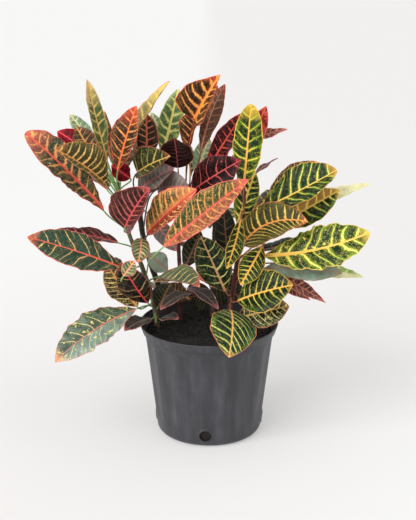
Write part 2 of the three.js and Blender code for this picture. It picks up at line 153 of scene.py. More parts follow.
def srgb(red, green, blue):
    """A colour read off a screen, from 0 to 255, as the linear colour that a shader takes."""
    share = np.array([red, green, blue]) / 255
    linear = np.where(share <= 0.04045, share / 12.92, ((share + 0.055) / 1.055) ** 2.4)
    return np.append(linear, 1.0)


def look(*colours, **rarer):
    """How a leaf is coloured: the cells between its veins, veins, margin, rib and glow.
    The glow lies in patches near the margin, along the veins and, as far as flare in millimetres,
    beside the rib, and halo is its strength. The tip is tinted from a share of the length on, gap is the
    share of the length between two veins, width is the rib's in millimetres, mottle strews flecks of
    the vein's colour, and net draws the finest veins."""
    worn = {"tip": colours[2], "tip_from": 0.86, "gap": 0.115, "width": 2.4, "mottle": 0.1, "net": 0.2,
            "halo": 0.4, "gloss": 0.3, "flare": 3.0, **dict(zip(COLOURS, colours)), **rarer}
    return {**worn, **{name: srgb(*worn[name]) for name in (*COLOURS, "tip")}}


LOOKS = {
    "shield": look(
        (46, 70, 56), (248, 200, 128), (226, 118, 108), (240, 106, 84), (94, 112, 76),
        tip=(238, 118, 96), tip_from=0.88, gap=0.14, width=2.6, mottle=0.03, net=0.1),
    "ember": look(
        (50, 74, 60), (252, 184, 110), (240, 112, 104), (252, 112, 94), (104, 102, 74),
        tip=(232, 112, 100), tip_from=0.76, gap=0.1, width=6.2, mottle=0.22, net=0.5),
    "coral_net": look(
        (38, 62, 34), (236, 176, 98), (234, 106, 96), (240, 94, 84), (132, 108, 60),
        gap=0.08, width=3.0, mottle=0.22, net=0.8, halo=0.6, flare=9),
    "sunset": look(
        (52, 70, 36), (250, 200, 112), (230, 92, 88), (214, 56, 62), (242, 142, 84),
        tip=(248, 150, 112), tip_from=0.72, gap=0.1, width=3.6, mottle=0.34, net=0.5, halo=0.75, flare=14),
    "crimson": look(
        (128, 12, 28), (40, 14, 20), RED, (224, 70, 78), (184, 22, 42),
        mottle=0.7, net=0.9, gloss=0.2),
    "scarlet": look(
        (206, 66, 54), (74, 24, 24), (240, 128, 112), (236, 100, 80), (228, 100, 84),
        tip=(232, 96, 84), mottle=0.6, net=0.9),
    "claret": look(
        (34, 13, 17), (216, 86, 66), (196, 56, 58), (220, 84, 70), (72, 22, 26),
        tip=RED, tip_from=0.85, width=3.0, mottle=0.08, net=0.35),
    "russet": look(
        (94, 58, 50), (226, 152, 128), (222, 124, 112), (202, 116, 98), (152, 96, 82),
        tip=ROSE, tip_from=0.85, gap=0.1, mottle=0.25, net=0.6),
    "pale": look(
        (238, 232, 180), (244, 240, 196), (244, 236, 170), (244, 238, 188), (240, 236, 184),
        mottle=0.3),
    "teal": look(
        (106, 136, 114), (216, 216, 150), (170, 176, 130), (220, 214, 148), (146, 168, 124),
        gap=0.13, mottle=0.25, gloss=0.6),
    "lime": look(
        (130, 122, 72), (236, 216, 124), (226, 128, 104), (238, 206, 112), (188, 162, 94),
        tip=(244, 214, 100), tip_from=0.7, gap=0.12, mottle=0.35, net=0.3, halo=0.8),
    "olive": look(
        (60, 50, 34), (192, 140, 84), (128, 76, 56), (226, 160, 86), (106, 80, 50),
        gap=0.13, mottle=0.15),
    "bronze": look(
        (58, 60, 30), (240, 204, 98), (190, 108, 70), (244, 162, 80), (118, 110, 48),
        gap=0.095, width=2.9, mottle=0.03, net=0.05),
    "copper": look(
        (74, 68, 36), (252, 212, 128), (206, 128, 84), (250, 176, 96), (142, 120, 64),
        gap=0.095, width=2.9, mottle=0.03, net=0.05),
    "gold": look(
        (16, 40, 22), (255, 232, 118), (222, 176, 84), (255, 212, 106), (106, 154, 40),
        tip=(244, 184, 84), tip_from=0.9, gap=0.125, width=3.4, mottle=0.03, net=0.15, halo=0.7),
    "lime_gold": look(
        (20, 46, 22), (252, 226, 88), (228, 186, 80), (254, 186, 84), (104, 148, 36),
        tip=(236, 200, 72), tip_from=0.8, gap=0.14, width=2.8, mottle=0.08, net=0.2, halo=0.7),
    "brass": look(
        (8, 23, 14), (206, 190, 86), (206, 160, 74), (246, 182, 82), (70, 116, 28),
        tip=(228, 158, 60), tip_from=0.92, width=2.6, mottle=0.1, net=0.15, halo=0.55),
    "broad_gold": look(
        (28, 52, 26), (255, 236, 118), (232, 198, 92), (255, 206, 96), (120, 160, 40),
        tip=(250, 224, 110), tip_from=0.9, gap=0.14, width=5.6, mottle=0.3, net=0.35, halo=0.8),
    "gilt": look(
        (18, 42, 30), (242, 226, 130), (216, 132, 88), (242, 188, 108), (100, 144, 54),
        tip=(240, 176, 92), tip_from=0.92, gap=0.12, width=2.6, mottle=0.06, net=0.1, halo=0.6),
    "moss": look(
        (14, 31, 20), (226, 220, 128), (170, 112, 76), (214, 164, 114), (50, 78, 34),
        tip=(52, 70, 38), gap=0.15, width=2.8, mottle=0.02, net=0.15, halo=0.45),
    "amber": look(
        (40, 38, 29), (255, 222, 140), (212, 140, 96), (244, 178, 104), (106, 92, 56),
        tip=(238, 128, 52), gap=0.1, width=3.2, mottle=0.18, net=0.55, halo=0.4),
    "tarnish": look(
        (18, 28, 20), (236, 220, 146), (186, 108, 80), (202, 164, 92), (72, 96, 52),
        gap=0.12, width=2.6, mottle=0.18, net=0.4, halo=0.5),
    "flame": look(
        (56, 38, 28), (238, 168, 96), (220, 84, 66), (244, 122, 66), (128, 80, 46),
        tip=(232, 84, 60), tip_from=0.7, gap=0.12, width=3.2, mottle=0.02, halo=0.5),
    "maroon": look(
        (27, 13, 17), (150, 34, 48), (96, 26, 36), (196, 48, 60), (50, 16, 23),
        gap=0.13, width=1.9, mottle=0.02, net=0.25, gloss=0.2),
    "garnet": look(
        (54, 28, 26), (196, 110, 100), (212, 104, 98), (214, 84, 88), (94, 48, 44),
        gap=0.12, width=3.0, mottle=0.03, halo=0.5, gloss=0.3),
    "wide_maroon": look(
        (27, 12, 15), (206, 100, 90), (128, 44, 52), (206, 82, 80), (50, 18, 22),
        gap=0.17, width=2.0, mottle=0.02, net=0.15, gloss=0.2),
    "plum": look(
        (32, 19, 18), (94, 50, 46), (124, 62, 56), (156, 80, 74), (40, 24, 22),
        width=1.6, mottle=0.0, net=0.1, gloss=0.12),
    "ink": look(
        (15, 17, 13), (180, 140, 90), (140, 76, 62), (222, 66, 76), (32, 30, 22),
        gap=0.19, width=2.1, mottle=0.06, net=0.2),
    "blaze": look(
        (44, 30, 22), (250, 176, 90), (230, 88, 62), (255, 168, 84), (176, 96, 48),
        tip=(242, 96, 64), tip_from=0.74, gap=0.185, width=5.4, mottle=0.02, net=0.1, halo=0.45, flare=8),
    "dark_bronze": look(
        (46, 47, 28), (198, 188, 98), (176, 90, 74), (220, 178, 92), (78, 86, 40),
        gap=0.2, width=2.0, mottle=0.12, net=0.05),
    "sage_gold": look(
        (70, 88, 54), (226, 204, 108), (202, 158, 114), (230, 178, 108), (142, 144, 76),
        tip=(234, 198, 128), tip_from=0.66, gap=0.12, width=2.4, mottle=0.14, net=0.1, halo=0.75),
    "teal_gold": look(
        (82, 112, 70), (255, 248, 160), (184, 196, 124), (255, 240, 138), (186, 204, 108),
        tip=(178, 196, 152), tip_from=0.74, gap=0.14, width=4.0, mottle=0.14, net=0.1, halo=0.75),
    "dark": look(
        (32, 33, 26), (92, 92, 60), (84, 62, 48), (122, 92, 66), (44, 46, 32),
        mottle=0.05),
    "dark_green": look(
        (24, 46, 36), (150, 146, 62), ROSE, (222, 90, 72), (40, 68, 42),
        width=1.8, mottle=0.1),
    "purple": look(
        (55, 52, 48), (76, 70, 64), (168, 110, 104), (142, 102, 98), (66, 61, 57),
        tip=ROSE, width=1.2, mottle=0.0, net=0.0, gloss=0.7),
    "slate": look(
        (98, 98, 88), (174, 136, 126), (148, 80, 82), (196, 124, 118), (124, 110, 100),
        width=2.1, mottle=0.04, net=0.3, gloss=0.9),
    "sage": look(
        (76, 90, 66), (222, 198, 120), (230, 112, 100), (234, 156, 108), (108, 122, 84),
        tip=(236, 84, 66), gap=0.12, width=2.0, mottle=0.06, net=0.05, gloss=0.8),
    "brown": look(
        (92, 64, 50), (222, 152, 114), (206, 92, 84), (204, 128, 102), (136, 92, 70),
        tip=RED, tip_from=0.82, gap=0.1, width=2.0, net=0.4),
    "umber": look(
        (46, 34, 26), (224, 148, 104), (214, 98, 82), (236, 122, 90), (90, 60, 44),
        gap=0.12, width=3.0, mottle=0.02, net=0.1),
    "sea_green": look(
        (62, 84, 62), (238, 224, 136), (206, 124, 112), (226, 116, 106), (84, 108, 78),
        tip=(236, 160, 100), tip_from=0.88, gap=0.12, width=1.6, mottle=0.3, net=0.0, halo=0.15, gloss=1.0),
    "glossy": look(
        (140, 160, 146), (172, 168, 118), (156, 134, 100), (178, 132, 104), (128, 144, 122),
        width=1.9, mottle=0.12, net=0.0, gloss=1.0),
}


def leaf(root, base, tip, width, arch, facing, fold, colours, **rarer):
    """One leaf: height of its stalk's root on the stem, where the blade starts and ends, its full width,
    how high its rib arches, which way its upper face looks, and how steeply its halves fold up in degrees.
    These are the CAD model's, apart from fourteen leaves that are fitted to the photo by up to 10 mm.
    Rarer: sweep bends the rib sideways, round and point change the outline at base and tip, ragged its
    margin, slants its veins on the left and on the right, and left and right colour the cells of one
    half."""
    usual = {"sweep": 0, "round": OUTLINE_BASE, "point": OUTLINE_TIP, "ragged": 0.5,
             "slants": (VEIN_SLANT, VEIN_SLANT), "left": None, "right": None}
    place = {"root": root, "base": base, "tip": tip, "facing": facing}
    shape = {"width": width, "arch": arch, "fold": fold, "look": LOOKS[colours]}
    return {**usual, **place, **shape, **rarer}


LEFT_LEAVES = [
    leaf(375, (-185, -25, 425), (-315, -60, 575), 71, 8, (0.7, -0.7, 0.5), 18, "ember",
         point=0.62, ragged=0.9),
    leaf(430, (-205, 50, 505), (-275, 70, 550), 46, 5, (0.3, -1, 0.6), 12, "crimson"),
    leaf(440, (-205, 75, 515), (-255, 100, 575), 30, 4, (0.2, -1, 0.6), 10, "teal"),
    leaf(435, (-195, 0, 500), (-235, 15, 570), 48, 5, (0.2, -1, 0.3), 15, "olive"),
    leaf(445, (-179, -5, 510), (-213, 10, 655), 33, 5, (0.7, -1, 0.3), 22, "sage_gold", sweep=-4),
    leaf(440, (-175, 25, 510), (-185, 30, 595), 30, 4, (-0.6, -1, 0.2), 15, "olive"),
    leaf(420, (-180, -35, 475), (-260, -100, 555), 84, 8, (0.79, -0.41, 0.45), 35, "copper",
         round=0.85, slants=(0.5, -0.28)),
    leaf(440, (-160, -25, 500), (-125, -25, 615), 56, 3, (-0.6, -1, 0.2), 22, "flame"),
    leaf(440, (-155, 5, 510), (-68, 20, 651), 38, 4, (-1, -0.6, 0.5), 32, "lime", right=(110, 60, 42)),
    leaf(375, (-148, -44, 401), (-102, -62, 479), 92, 6, (-0.45, -0.87, 0.48), 38, "garnet", round=0.65),
    leaf(345, (-162, -20, 366), (-280, -30, 391), 54, 4, (0, -0.1, 1), 10, "garnet", round=0.6),
    leaf(310, (-153, -50, 328), (-315, -90, 398), 70, 7, (0, -0.8, 0.8), 8, "shield"),
    leaf(235, (-130, -10, 240), (-185, -25, 330), 56, 5, (-0.2, -1, 0.4), 10, "amber"),
    leaf(245, (-110, -30, 255), (-155, -70, 345), 56, 6, (-0.3, -1, 0.4), 10, "ink"),
    leaf(290, (-150, -85, 325), (-130, -90, 355), 28, 2, (0, -1, 0.2), 8, "sage"),
    leaf(225, (-130, -30, 245), (-275, -90, 165), 72, 12, (0.2, -0.5, 0.8), 10, "sea_green",
         sweep=5, ragged=1.1, left=(112, 132, 120)),
    leaf(215, (-105, -20, 222), (-150, -85, 222), 36, 6, (0, -0.3, 1), 10, "purple"),
    leaf(212, (-95, -10, 212), (-55, -60, 235), 32, 6, (0, -0.3, 1), 10, "purple"),
    leaf(320, (-120, -40, 380), (-125, -70, 345), 34, 6, (0.3, -1, 0.6), 14, "sage", round=0.6, point=0.7),
    leaf(290, (-80, -93, 380), (65, -148, 515), 66, 5, (-0.35, -0.8, 0.45), 25, "coral_net",
         right=(136, 74, 58)),
    leaf(270, (-98, -60, 306), (-16, -105, 311), 74, 6, (0, -0.15, 1), 30, "sage"),
    leaf(280, (-75, 0, 308), (-110, -20, 345), 38, 3, (0, -1, 0.6), 10, "glossy"),
    leaf(225, (-95, 15, 230), (-70, 10, 280), 46, 3, (0, -1, 0.3), 10, "dark"),
    leaf(440, (-195, 55, 485), (-260, 150, 495), 56, 8, (0, 0.5, 0.8), 10, "maroon"),
    leaf(425, (-185, 50, 445), (-245, 170, 450), 60, 8, (0, 0.4, 0.9), 10, "ember"),
    leaf(445, (-160, 50, 475), (-165, 170, 500), 50, 6, (0, 0.5, 0.6), 10, "olive"),
    leaf(455, (-140, 5, 478), (-172, -18, 508), 34, 3, (0, -1, 0.4), 10, "crimson"),
    leaf(300, (-150, 50, 275), (-245, 130, 300), 60, 8, (0, 0.2, 1), 10, "dark_green"),
    leaf(270, (-140, 60, 232), (-200, 160, 235), 54, 8, (0, 0.2, 1), 10, "bronze"),
]

CENTRE_LEFT_LEAVES = [
    leaf(320, (-110, -40, 385), (-20, -78, 480), 74, 6, (-0.5, -0.75, 0.5), 36, "sunset",
         right=(112, 30, 36)),
    leaf(400, (-112, 20, 500), (-112, 30, 592), 42, 4, (0.3, -1, 0.3), 14, "umber"),
    leaf(400, (-126, -20, 495), (-66, -60, 534), 68, 6, (-0.3, -0.8, 0.55), 38, "dark_bronze", round=0.75),
    leaf(390, (-125, -10, 460), (-60, -50, 510), 56, 6, (-0.4, -0.8, 0.5), 30, "slate"),
    leaf(370, (-90, -20, 465), (-35, -60, 480), 56, 5, (-0.1, -0.8, 0.6), 30, "slate"),
    leaf(410, (-85, 45, 505), (-55, 60, 630), 44, 4, (0.1, -1, 0.3), 14, "teal_gold"),
    leaf(430, (-80, 60, 535), (-105, 70, 585), 20, 2, (0, -1, 0.5), 10, "teal"),
    leaf(400, (-112, 4, 416), (-58, -6, 346), 34, 3, (0, -1, 0.5), 8, "slate"),
    leaf(410, (-115, 60, 465), (-125, 150, 525), 50, 6, (0, 0.5, 0.6), 10, "olive"),
    leaf(395, (-110, 60, 435), (-95, 190, 430), 58, 8, (0, 0.3, 1), 10, "maroon"),
    leaf(300, (-95, 60, 245), (-110, 170, 222), 52, 8, (0, 0.3, 1), 10, "shield"),
]

CENTRE_LEAVES = [
    leaf(420, (-24, -10, 588), (20, -30, 670), 94, 5, (-0.6, -0.8, 0.1), 42, "blaze",
         round=0.55, point=1.15),
    leaf(410, (-36, 15, 528), (-18, 30, 600), 50, 4, (-0.6, -0.8, 0.1), 42, "flame"),
    leaf(420, (-15, 10, 525), (28, 20, 645), 35, 4, (0.4, 0.8, 0.2), 16, "brown", sweep=7),
    leaf(420, (-15, 30, 520), (15, 35, 640), 26, 4, (0.6, 0.7, 0.2), 16, "brown", sweep=5),
    leaf(410, (-55, -12, 502), (-60, -77, 570), 62, -8, (0, -0.3, -1), 14, "plum", round=0.65),
    leaf(390, (-6, 10, 488), (62, 0, 599), 40, 4, (-0.3, -1, 0.4), 14, "claret"),
    leaf(370, (-30, -10, 460), (55, -50, 525), 68, 6, (0, -1, 0.5), 12, "wide_maroon", round=0.85),
    leaf(240, (-30, -15, 268), (-87, -80, 260), 28, 10, (0, -0.3, 1), 14, "purple"),
    leaf(255, (-42, 5, 272), (17, -62, 254), 28, 12, (0, -0.3, 1), 12, "purple"),
    leaf(230, (-35, 35, 240), (-85, 30, 270), 34, 3, (0, -1, 0.3), 10, "olive"),
    leaf(300, (-45, 20, 305), (-15, 25, 375), 38, 4, (0, -1, 0.3), 10, "dark"),
    leaf(400, (-25, 90, 460), (0, 110, 530), 36, 4, (0, -1, 0.4), 10, "teal"),
    leaf(430, (-35, 80, 460), (-55, 160, 545), 50, 6, (0, 0.5, 0.6), 10, "amber"),
    leaf(410, (-20, 80, 440), (25, 190, 470), 56, 8, (0, 0.4, 0.9), 10, "maroon"),
]

RIGHT_LEAVES = [
    leaf(400, (61, -35, 480), (72, -35, 620), 52, 4, (0, -1, 0.3), 12, "lime_gold", round=0.6, point=0.55),
    leaf(355, (50, -5, 395), (82, 10, 490), 42, 4, (0, -1, 0.4), 10, "gold"),
    leaf(400, (58, 30, 510), (101, 25, 605), 38, 5, (0.2, -1, 0.4), 10, "scarlet"),
    leaf(400, (50, 50, 530), (140, 40, 560), 24, 3, (0, -0.6, 1), 10, "russet"),
    leaf(380, (108, 70, 431), (199, 75, 492), 44, 5, (-0.2, -0.8, 0.6), 14, "amber"),
    leaf(385, (65, 40, 455), (125, 50, 505), 13, 6, (0, -0.2, 1), 10, "slate"),
    leaf(360, (90, 0, 420), (225, -20, 500), 88, 6, (-0.25, -0.6, 0.75), 24, "gold",
         sweep=7, point=0.72, ragged=0.9),
    leaf(345, (120, 45, 400), (295, 60, 455), 30, 3, (0, -0.6, 1), 10, "pale"),
    leaf(325, (60, -55, 375), (170, -100, 428), 78, 14, (-0.1, -0.7, 0.7), 10, "bronze",
         sweep=-14, round=0.6, slants=(-0.18, 1.3)),
    leaf(340, (115, 20, 384), (233, 0, 459), 60, 5, (-0.1, -0.95, 0.1), 16, "gold", left=(152, 112, 50)),
    leaf(290, (95, -45, 350), (280, -75, 402), 82, 8, (0, -0.8, 0.7), 8, "broad_gold",
         sweep=14, ragged=1.2, point=0.76),
    leaf(275, (95, -40, 324), (236, -60, 322), 53, 8, (0, -0.65, 0.8), 8, "glossy"),
    leaf(285, (120, 20, 315), (285, 30, 285), 36, 4, (0, -0.6, 1), 8, "pale", left=(146, 174, 92)),
    leaf(285, (105, -5, 310), (212, -20, 252), 27, 6, (0, -0.7, 0.8), 10, "russet", point=1.1),
    leaf(280, (100, 5, 295), (185, -5, 252), 25, 6, (0, -0.7, 0.8), 10, "russet", point=1.1),
    leaf(245, (50, -60, 270), (145, -115, 319), 78, 8, (0, -0.8, 0.6), 8, "brass"),
    leaf(235, (50, -50, 233), (143, -62, 261), 61, 8, (0.2, -0.8, 0.5), 12, "tarnish"),
    leaf(235, (38, -50, 250), (34, -150, 198), 84, 18, (0.28, -0.5, 0.85), 8, "gilt", slants=(1.3, -0.5)),
    leaf(320, (95, -50, 370), (55, -90, 310), 44, 6, (0, -1, 0.4), 12, "brass"),
    leaf(340, (55, -60, 425), (30, -90, 340), 34, 5, (0.5, -1, 0.3), 18, "brass"),
    leaf(300, (35, 10, 315), (25, 10, 430), 40, 3, (0, -1, 0.2), 8, "dark"),
    leaf(250, (30, -25, 275), (-15, -40, 385), 64, 5, (0, -1, 0.3), 10, "moss"),
    leaf(380, (80, 45, 405), (170, 150, 425), 60, 8, (0, 0.3, 1), 10, "gold"),
    leaf(350, (80, 45, 365), (210, 110, 385), 60, 8, (0, 0, 1), 10, "gold"),
    leaf(320, (75, 50, 325), (230, 110, 320), 60, 8, (0, 0, 1), 10, "dark_green"),
    leaf(290, (70, 60, 280), (145, 160, 230), 56, 8, (0, 0.2, 1), 10, "gold"),
]

BACK_LEAVES = [
    leaf(410, (25, 100, 430), (70, 160, 505), 50, 6, (0, 0.5, 0.6), 10, "ember"),
    leaf(400, (10, 110, 400), (10, 230, 410), 60, 8, (0, 0.3, 1), 10, "amber"),
    leaf(380, (25, 100, 370), (90, 210, 360), 58, 8, (0, 0.2, 1), 10, "gold"),
    leaf(370, (0, 100, 360), (-35, 200, 360), 58, 8, (0, 0.3, 1), 10, "amber"),
    leaf(340, (0, 100, 315), (-50, 200, 290), 54, 8, (0, 0.2, 1), 10, "bronze"),
    leaf(320, (15, 110, 275), (25, 220, 255), 58, 8, (0, 0.2, 1), 10, "gilt"),
    leaf(290, (-5, 100, 250), (-60, 190, 230), 54, 8, (0, 0.2, 1), 10, "ember"),
    leaf(270, (25, 95, 250), (105, 170, 232), 56, 8, (0, 0.1, 1), 10, "gold"),
    leaf(222, (8, 70, 240), (-44, 80, 228), 56, 5, (0, -1, 0.25), 8, "dark"),
    leaf(228, (4, 64, 268), (62, 60, 234), 58, 5, (0, -1, 0.25), 8, "dark"),
]


def leafy_plan(side, leaves, radii, bark, stalk, route):
    """A stem: its leaves, radii and colours of bark at foot and top, its stalks' colour and its route."""
    names = {"name": side + "_stem", "slot": side + "_foliage"}
    return {**names, "leaves": leaves, "radii": radii, "bark": bark, "stalk": stalk, "route": route}


STEMS = [
    leafy_plan("left", LEFT_LEAVES, (6, 3), (BARK, (92, 106, 62)), (130, 170, 92), [
        (-97, 22, 200), (-100, 20, 228), (-107, 15, 259), (-122, 5, 313),
        (-137, 0, 356), (-146, 0, 384), (-157, 0, 431), (-164, 0, 472),
    ]),
    leafy_plan("centre_left", CENTRE_LEFT_LEAVES, (6.5, 4.5), (DARK_BARK, DARK_BARK), (96, 70, 48), [
        (-73, 45, 200), (-91, 40, 256), (-109, 32, 317), (-120, 25, 364), (-126, 20, 425), (-122, 15, 473),
    ]),
    leafy_plan("centre", CENTRE_LEAVES, (4.8, 3), (RED_BARK, RED_BARK), (120, 56, 46), [
        (-55, 60, 200), (-54, 60, 269), (-56, 60, 347), (-46, 50, 408), (-35, 35, 459),
    ]),
    leafy_plan("right", RIGHT_LEAVES, (6.5, 3.4), (RED_BARK, RED_BARK), (150, 84, 52), [
        (37, 20, 200), (40, 18, 244), (46, 12, 276), (51, 5, 322),
        (56, 0, 356), (63, 0, 394), (62, -2, 441), (60, -8, 468),
    ]),
    leafy_plan("back", BACK_LEAVES, (4.8, 3), (BARK, DARK_BARK), (120, 100, 56), [
        (6, 80, 200), (9, 85, 281), (9, 88, 349), (13, 90, 416),
    ]),
]


# Materials


class Graph:
    """A material's nodes, with a short call for each kind that is used here."""

    def __init__(self, name):
        self.material = bpy.data.materials.new(name)
        self.material.use_nodes = True
        self.tree = self.material.node_tree
        self.shader = self.tree.nodes["Principled BSDF"]

    def plug(self, socket, value):
        if isinstance(value, bpy.types.NodeSocket):
            self.tree.links.new(value, socket)
        else:
            socket.default_value = value

    def node(self, kind, values, **settings):
        made = self.tree.nodes.new(kind)
        for name, setting in settings.items():
            setattr(made, name, setting)
        for key, value in values.items():
            self.plug(made.inputs[key], value)
        return made

    def math(self, operation, *values):
        return self.node("ShaderNodeMath", dict(enumerate(values)), operation=operation).outputs[0]

    def add(self, a, b):
        return self.math("ADD", a, b)

    def sub(self, a, b):
        return self.math("SUBTRACT", a, b)

    def mul(self, a, b):
        return self.math("MULTIPLY", a, b)

    def div(self, a, b):
        return self.math("DIVIDE", a, b)

    def max(self, a, b):
        return self.math("MAXIMUM", a, b)

    def vector(self, operation, values, output="Vector"):
        return self.node("ShaderNodeVectorMath", values, operation=operation).outputs[output]

    def scaled(self, colour, shade):
        return self.vector("SCALE", {0: colour, 3: shade})

    def point(self, *parts):
        return self.node("ShaderNodeCombineXYZ", dict(enumerate(parts))).outputs[0]

    def parts(self, vector):
        return self.node("ShaderNodeSeparateXYZ", {0: vector}).outputs

    def place(self):
        return self.node("ShaderNodeTexCoord", {}).outputs["Object"]

    def field(self, name, output="Vector"):
        return self.node("ShaderNodeAttribute", {}, attribute_name=name).outputs[output]

    def mix(self, share, low, high):
        values = {0: share, 6: low, 7: high}
        return self.node("ShaderNodeMix", values, data_type="RGBA").outputs[2]

    def ramp(self, value, start, end, low=0.0, high=1.0):
        values = {0: value, 1: start, 2: end, 3: low, 4: high}
        return self.node("ShaderNodeMapRange", values, interpolation_type="SMOOTHSTEP").outputs[0]

    def noise(self, scale, vector=None, detail=3.0):
        values = {"Scale": scale, "Detail": detail}
        if vector is not None:
            values["Vector"] = vector
        return self.node("ShaderNodeTexNoise", values).outputs[0]

    def dots(self, scale, vector, **settings):
        return self.node("ShaderNodeTexVoronoi", {"Scale": scale, "Vector": vector}, **settings).outputs[0]

    def net(self, scale, vector):
        return self.dots(scale, vector, feature="DISTANCE_TO_EDGE")

    def bump(self, height, strength, distance):
        values = {"Height": height, "Strength": strength, "Distance": distance}
        self.plug(self.shader.inputs["Normal"], self.node("ShaderNodeBump", values).outputs[0])

    def finish(self, **values):
        for name, value in values.items():
            self.plug(self.shader.inputs[name.replace("_", " ").title().replace("Ior", "IOR")], value)
        return self.material


def leaf_material():
    """Veins are drawn from each point's place on its blade: along the rib, across it and half its width."""
    g = Graph("croton_leaf")
    along, across, half = g.parts(g.field("place"))
    spacing, width, number = g.parts(g.field("style"))
    mottle, net, halo = g.parts(g.field("tone"))
    gloss, flare, under = g.parts(g.field("surface"))
    away = g.math("ABSOLUTE", across)
    side = g.math("SIGN", across)
    inside = g.sub(half, away)
    outward = g.div(away, g.max(half, 0.5))
    spot = g.point(along, across, g.mul(number, 37.0))

    # The side veins are counted along the rib, and each draws its own strength, reach and paleness.
    slant = g.add(g.field("lean", "Fac"), g.mul(away, VEIN_CURVE))
    slanted = g.sub(along, g.mul(away, slant))
    staggered = g.add(slanted, g.mul(side, VEIN_STAGGER))
    bend = g.mul(g.sub(g.noise(0.035, spot, 0.0), 0.5), VEIN_BEND)
    jag = g.div(g.mul(g.sub(g.noise(0.3, spot), 0.5), VEIN_JAG), spacing)
    turns = g.add(g.div(staggered, spacing), g.add(bend, jag))
    index = g.math("ROUND", turns)
    off_share = g.math("ABSOLUTE", g.sub(turns, index))
    off_vein = g.mul(off_share, spacing)
    draw = g.node("ShaderNodeTexWhiteNoise", {"Vector": g.point(index, side, g.math("ROUND", number))})
    strength, reach, paleness = g.parts(draw.outputs["Color"])
    full_reach = g.add(g.mul(reach, VEIN_REACH_SPREAD), VEIN_REACH)
    left_over = g.max(g.sub(1.0, g.div(outward, full_reach)), 0.0)
    wedge = g.mul(g.math("POWER", left_over, 0.6), g.ramp(strength, 0.0, 1.0, *VEIN_BREADTHS))
    breadth = g.mul(g.mul(width, wedge), g.ramp(g.noise(0.22, spot), 0.3, 0.7, 0.5, 1.45))
    lateral = g.ramp(off_vein, g.add(g.mul(breadth, 1.25), 0.2), g.mul(breadth, 0.7))

    # The glow lies beside the veins and the rib, and in patches near the margin.
    beside_rib = g.ramp(away, flare, g.mul(flare, 0.15))
    beside_veins = g.max(g.ramp(off_vein, g.add(breadth, g.mul(spacing, 0.24)), breadth), beside_rib)
    patches = g.mul(g.ramp(inside, *PATCH_DEPTHS), g.ramp(g.noise(0.045, spot), 0.48, 0.62))
    glow = g.mul(g.max(beside_veins, patches), halo)

    # Minor veins run midway between the side veins, and a fine net and flecks fill what is left.
    between = g.mul(g.sub(0.5, off_share), spacing)
    broken = g.mul(g.ramp(g.noise(0.16, spot), 0.46, 0.6), net)
    short = g.mul(g.ramp(outward, 0.5, 0.8, 0.0, 0.7), g.ramp(reach, 0.4, 0.5))
    minor = g.mul(g.ramp(between, *MINOR_VEIN_EDGES), g.max(broken, short))
    fine = g.mul(g.ramp(g.net(0.3, spot), 0.12, 0.03), broken)
    strewn = g.add(g.noise(0.06, spot), g.mul(mottle, 0.35))
    strewn = g.add(strewn, g.mul(g.add(outward, patches), 0.07))
    fleck = g.mul(g.ramp(g.dots(0.42, spot), 0.36, 0.18), g.ramp(strewn, 0.58, 0.66))
    flood = g.ramp(g.add(g.noise(0.11, spot, 4.0), g.mul(mottle, 0.26)), 0.69, 0.76)

    # The rib narrows towards the tip, and the coloured edge varies in width.
    rib_edge = g.mul(width, g.ramp(along, 0.0, RIB_TAPER_LENGTH, 0.8, 0.36))
    rib = g.ramp(away, g.add(rib_edge, 0.25), g.mul(rib_edge, 0.65))
    edge_width = g.ramp(g.noise(0.1, spot), 0.3, 0.7, *MARGIN_WIDTHS)
    edge = g.ramp(inside, g.add(edge_width, 0.5), g.mul(edge_width, 0.6))

    blade, vein, margin, rib_colour, glow_colour = (g.field(name, "Color") for name in COLOURS)
    colour = g.scaled(blade, g.ramp(g.noise(0.05, spot), 0.2, 0.8, 0.65, 1.4))
    colour = g.mix(glow, colour, glow_colour)
    fleck_colour = g.mix(0.4, vein, glow_colour)
    for share, tint in ((flood, vein), (fleck, fleck_colour), (fine, vein), (minor, fleck_colour)):
        colour = g.mix(g.mul(share, 0.8), colour, tint)
    own_vein = g.scaled(vein, g.ramp(paleness, 0.0, 1.0, 0.84, 1.1))
    colour = g.mix(lateral, colour, g.mix(g.ramp(outward, 0.45, 0.0, 0.0, 0.6), own_vein, rib_colour))
    colour = g.mix(edge, colour, margin)
    colour = g.mix(rib, colour, rib_colour)
    colour = g.mix(under, colour, g.mix(0.45, colour, (0.11, 0.075, 0.05, 1)))

    g.bump(g.add(g.mul(lateral, -0.6), g.mul(g.noise(0.9, spot), 0.3)), 0.35, 0.0006)
    rough = g.add(g.ramp(g.noise(0.12, spot), 0.2, 0.8, 0.28, 0.44), g.mul(under, 0.2))
    shine = g.mul(gloss, g.ramp(under, 0.0, 1.0, 0.5, 0.2))
    return g.finish(base_color=colour, roughness=rough, specular_ior_level=shine)


def stalk_material():
    g = Graph("croton_stalk")
    spot = g.field("place")
    streak = g.ramp(g.noise(0.25, spot, 4.0), 0.3, 0.7, 0.75, 1.2)
    colour = g.scaled(g.field("rib", "Color"), streak)
    g.bump(g.noise(1.4, spot), 0.2, 0.0004)
    return g.finish(base_color=colour, roughness=g.ramp(g.noise(0.5, spot), 0.3, 0.7, 0.38, 0.55))


def bark_material():
    g = Graph("croton_bark")
    along, across, half = g.parts(g.field("place"))
    streak = g.noise(0.35, g.point(g.mul(along, 0.3), across, half), 6.0)
    rings = g.noise(0.5, g.point(along), 4.0)
    shade = g.mul(g.ramp(streak, 0.3, 0.7, 0.6, 1.3), g.ramp(rings, 0.3, 0.7, 0.75, 1.15))
    colour = g.scaled(g.field("rib", "Color"), shade)
    g.bump(g.add(streak, rings), 0.6, 0.0012)
    return g.finish(base_color=colour, roughness=g.ramp(streak, 0.3, 0.7, 0.6, 0.85))


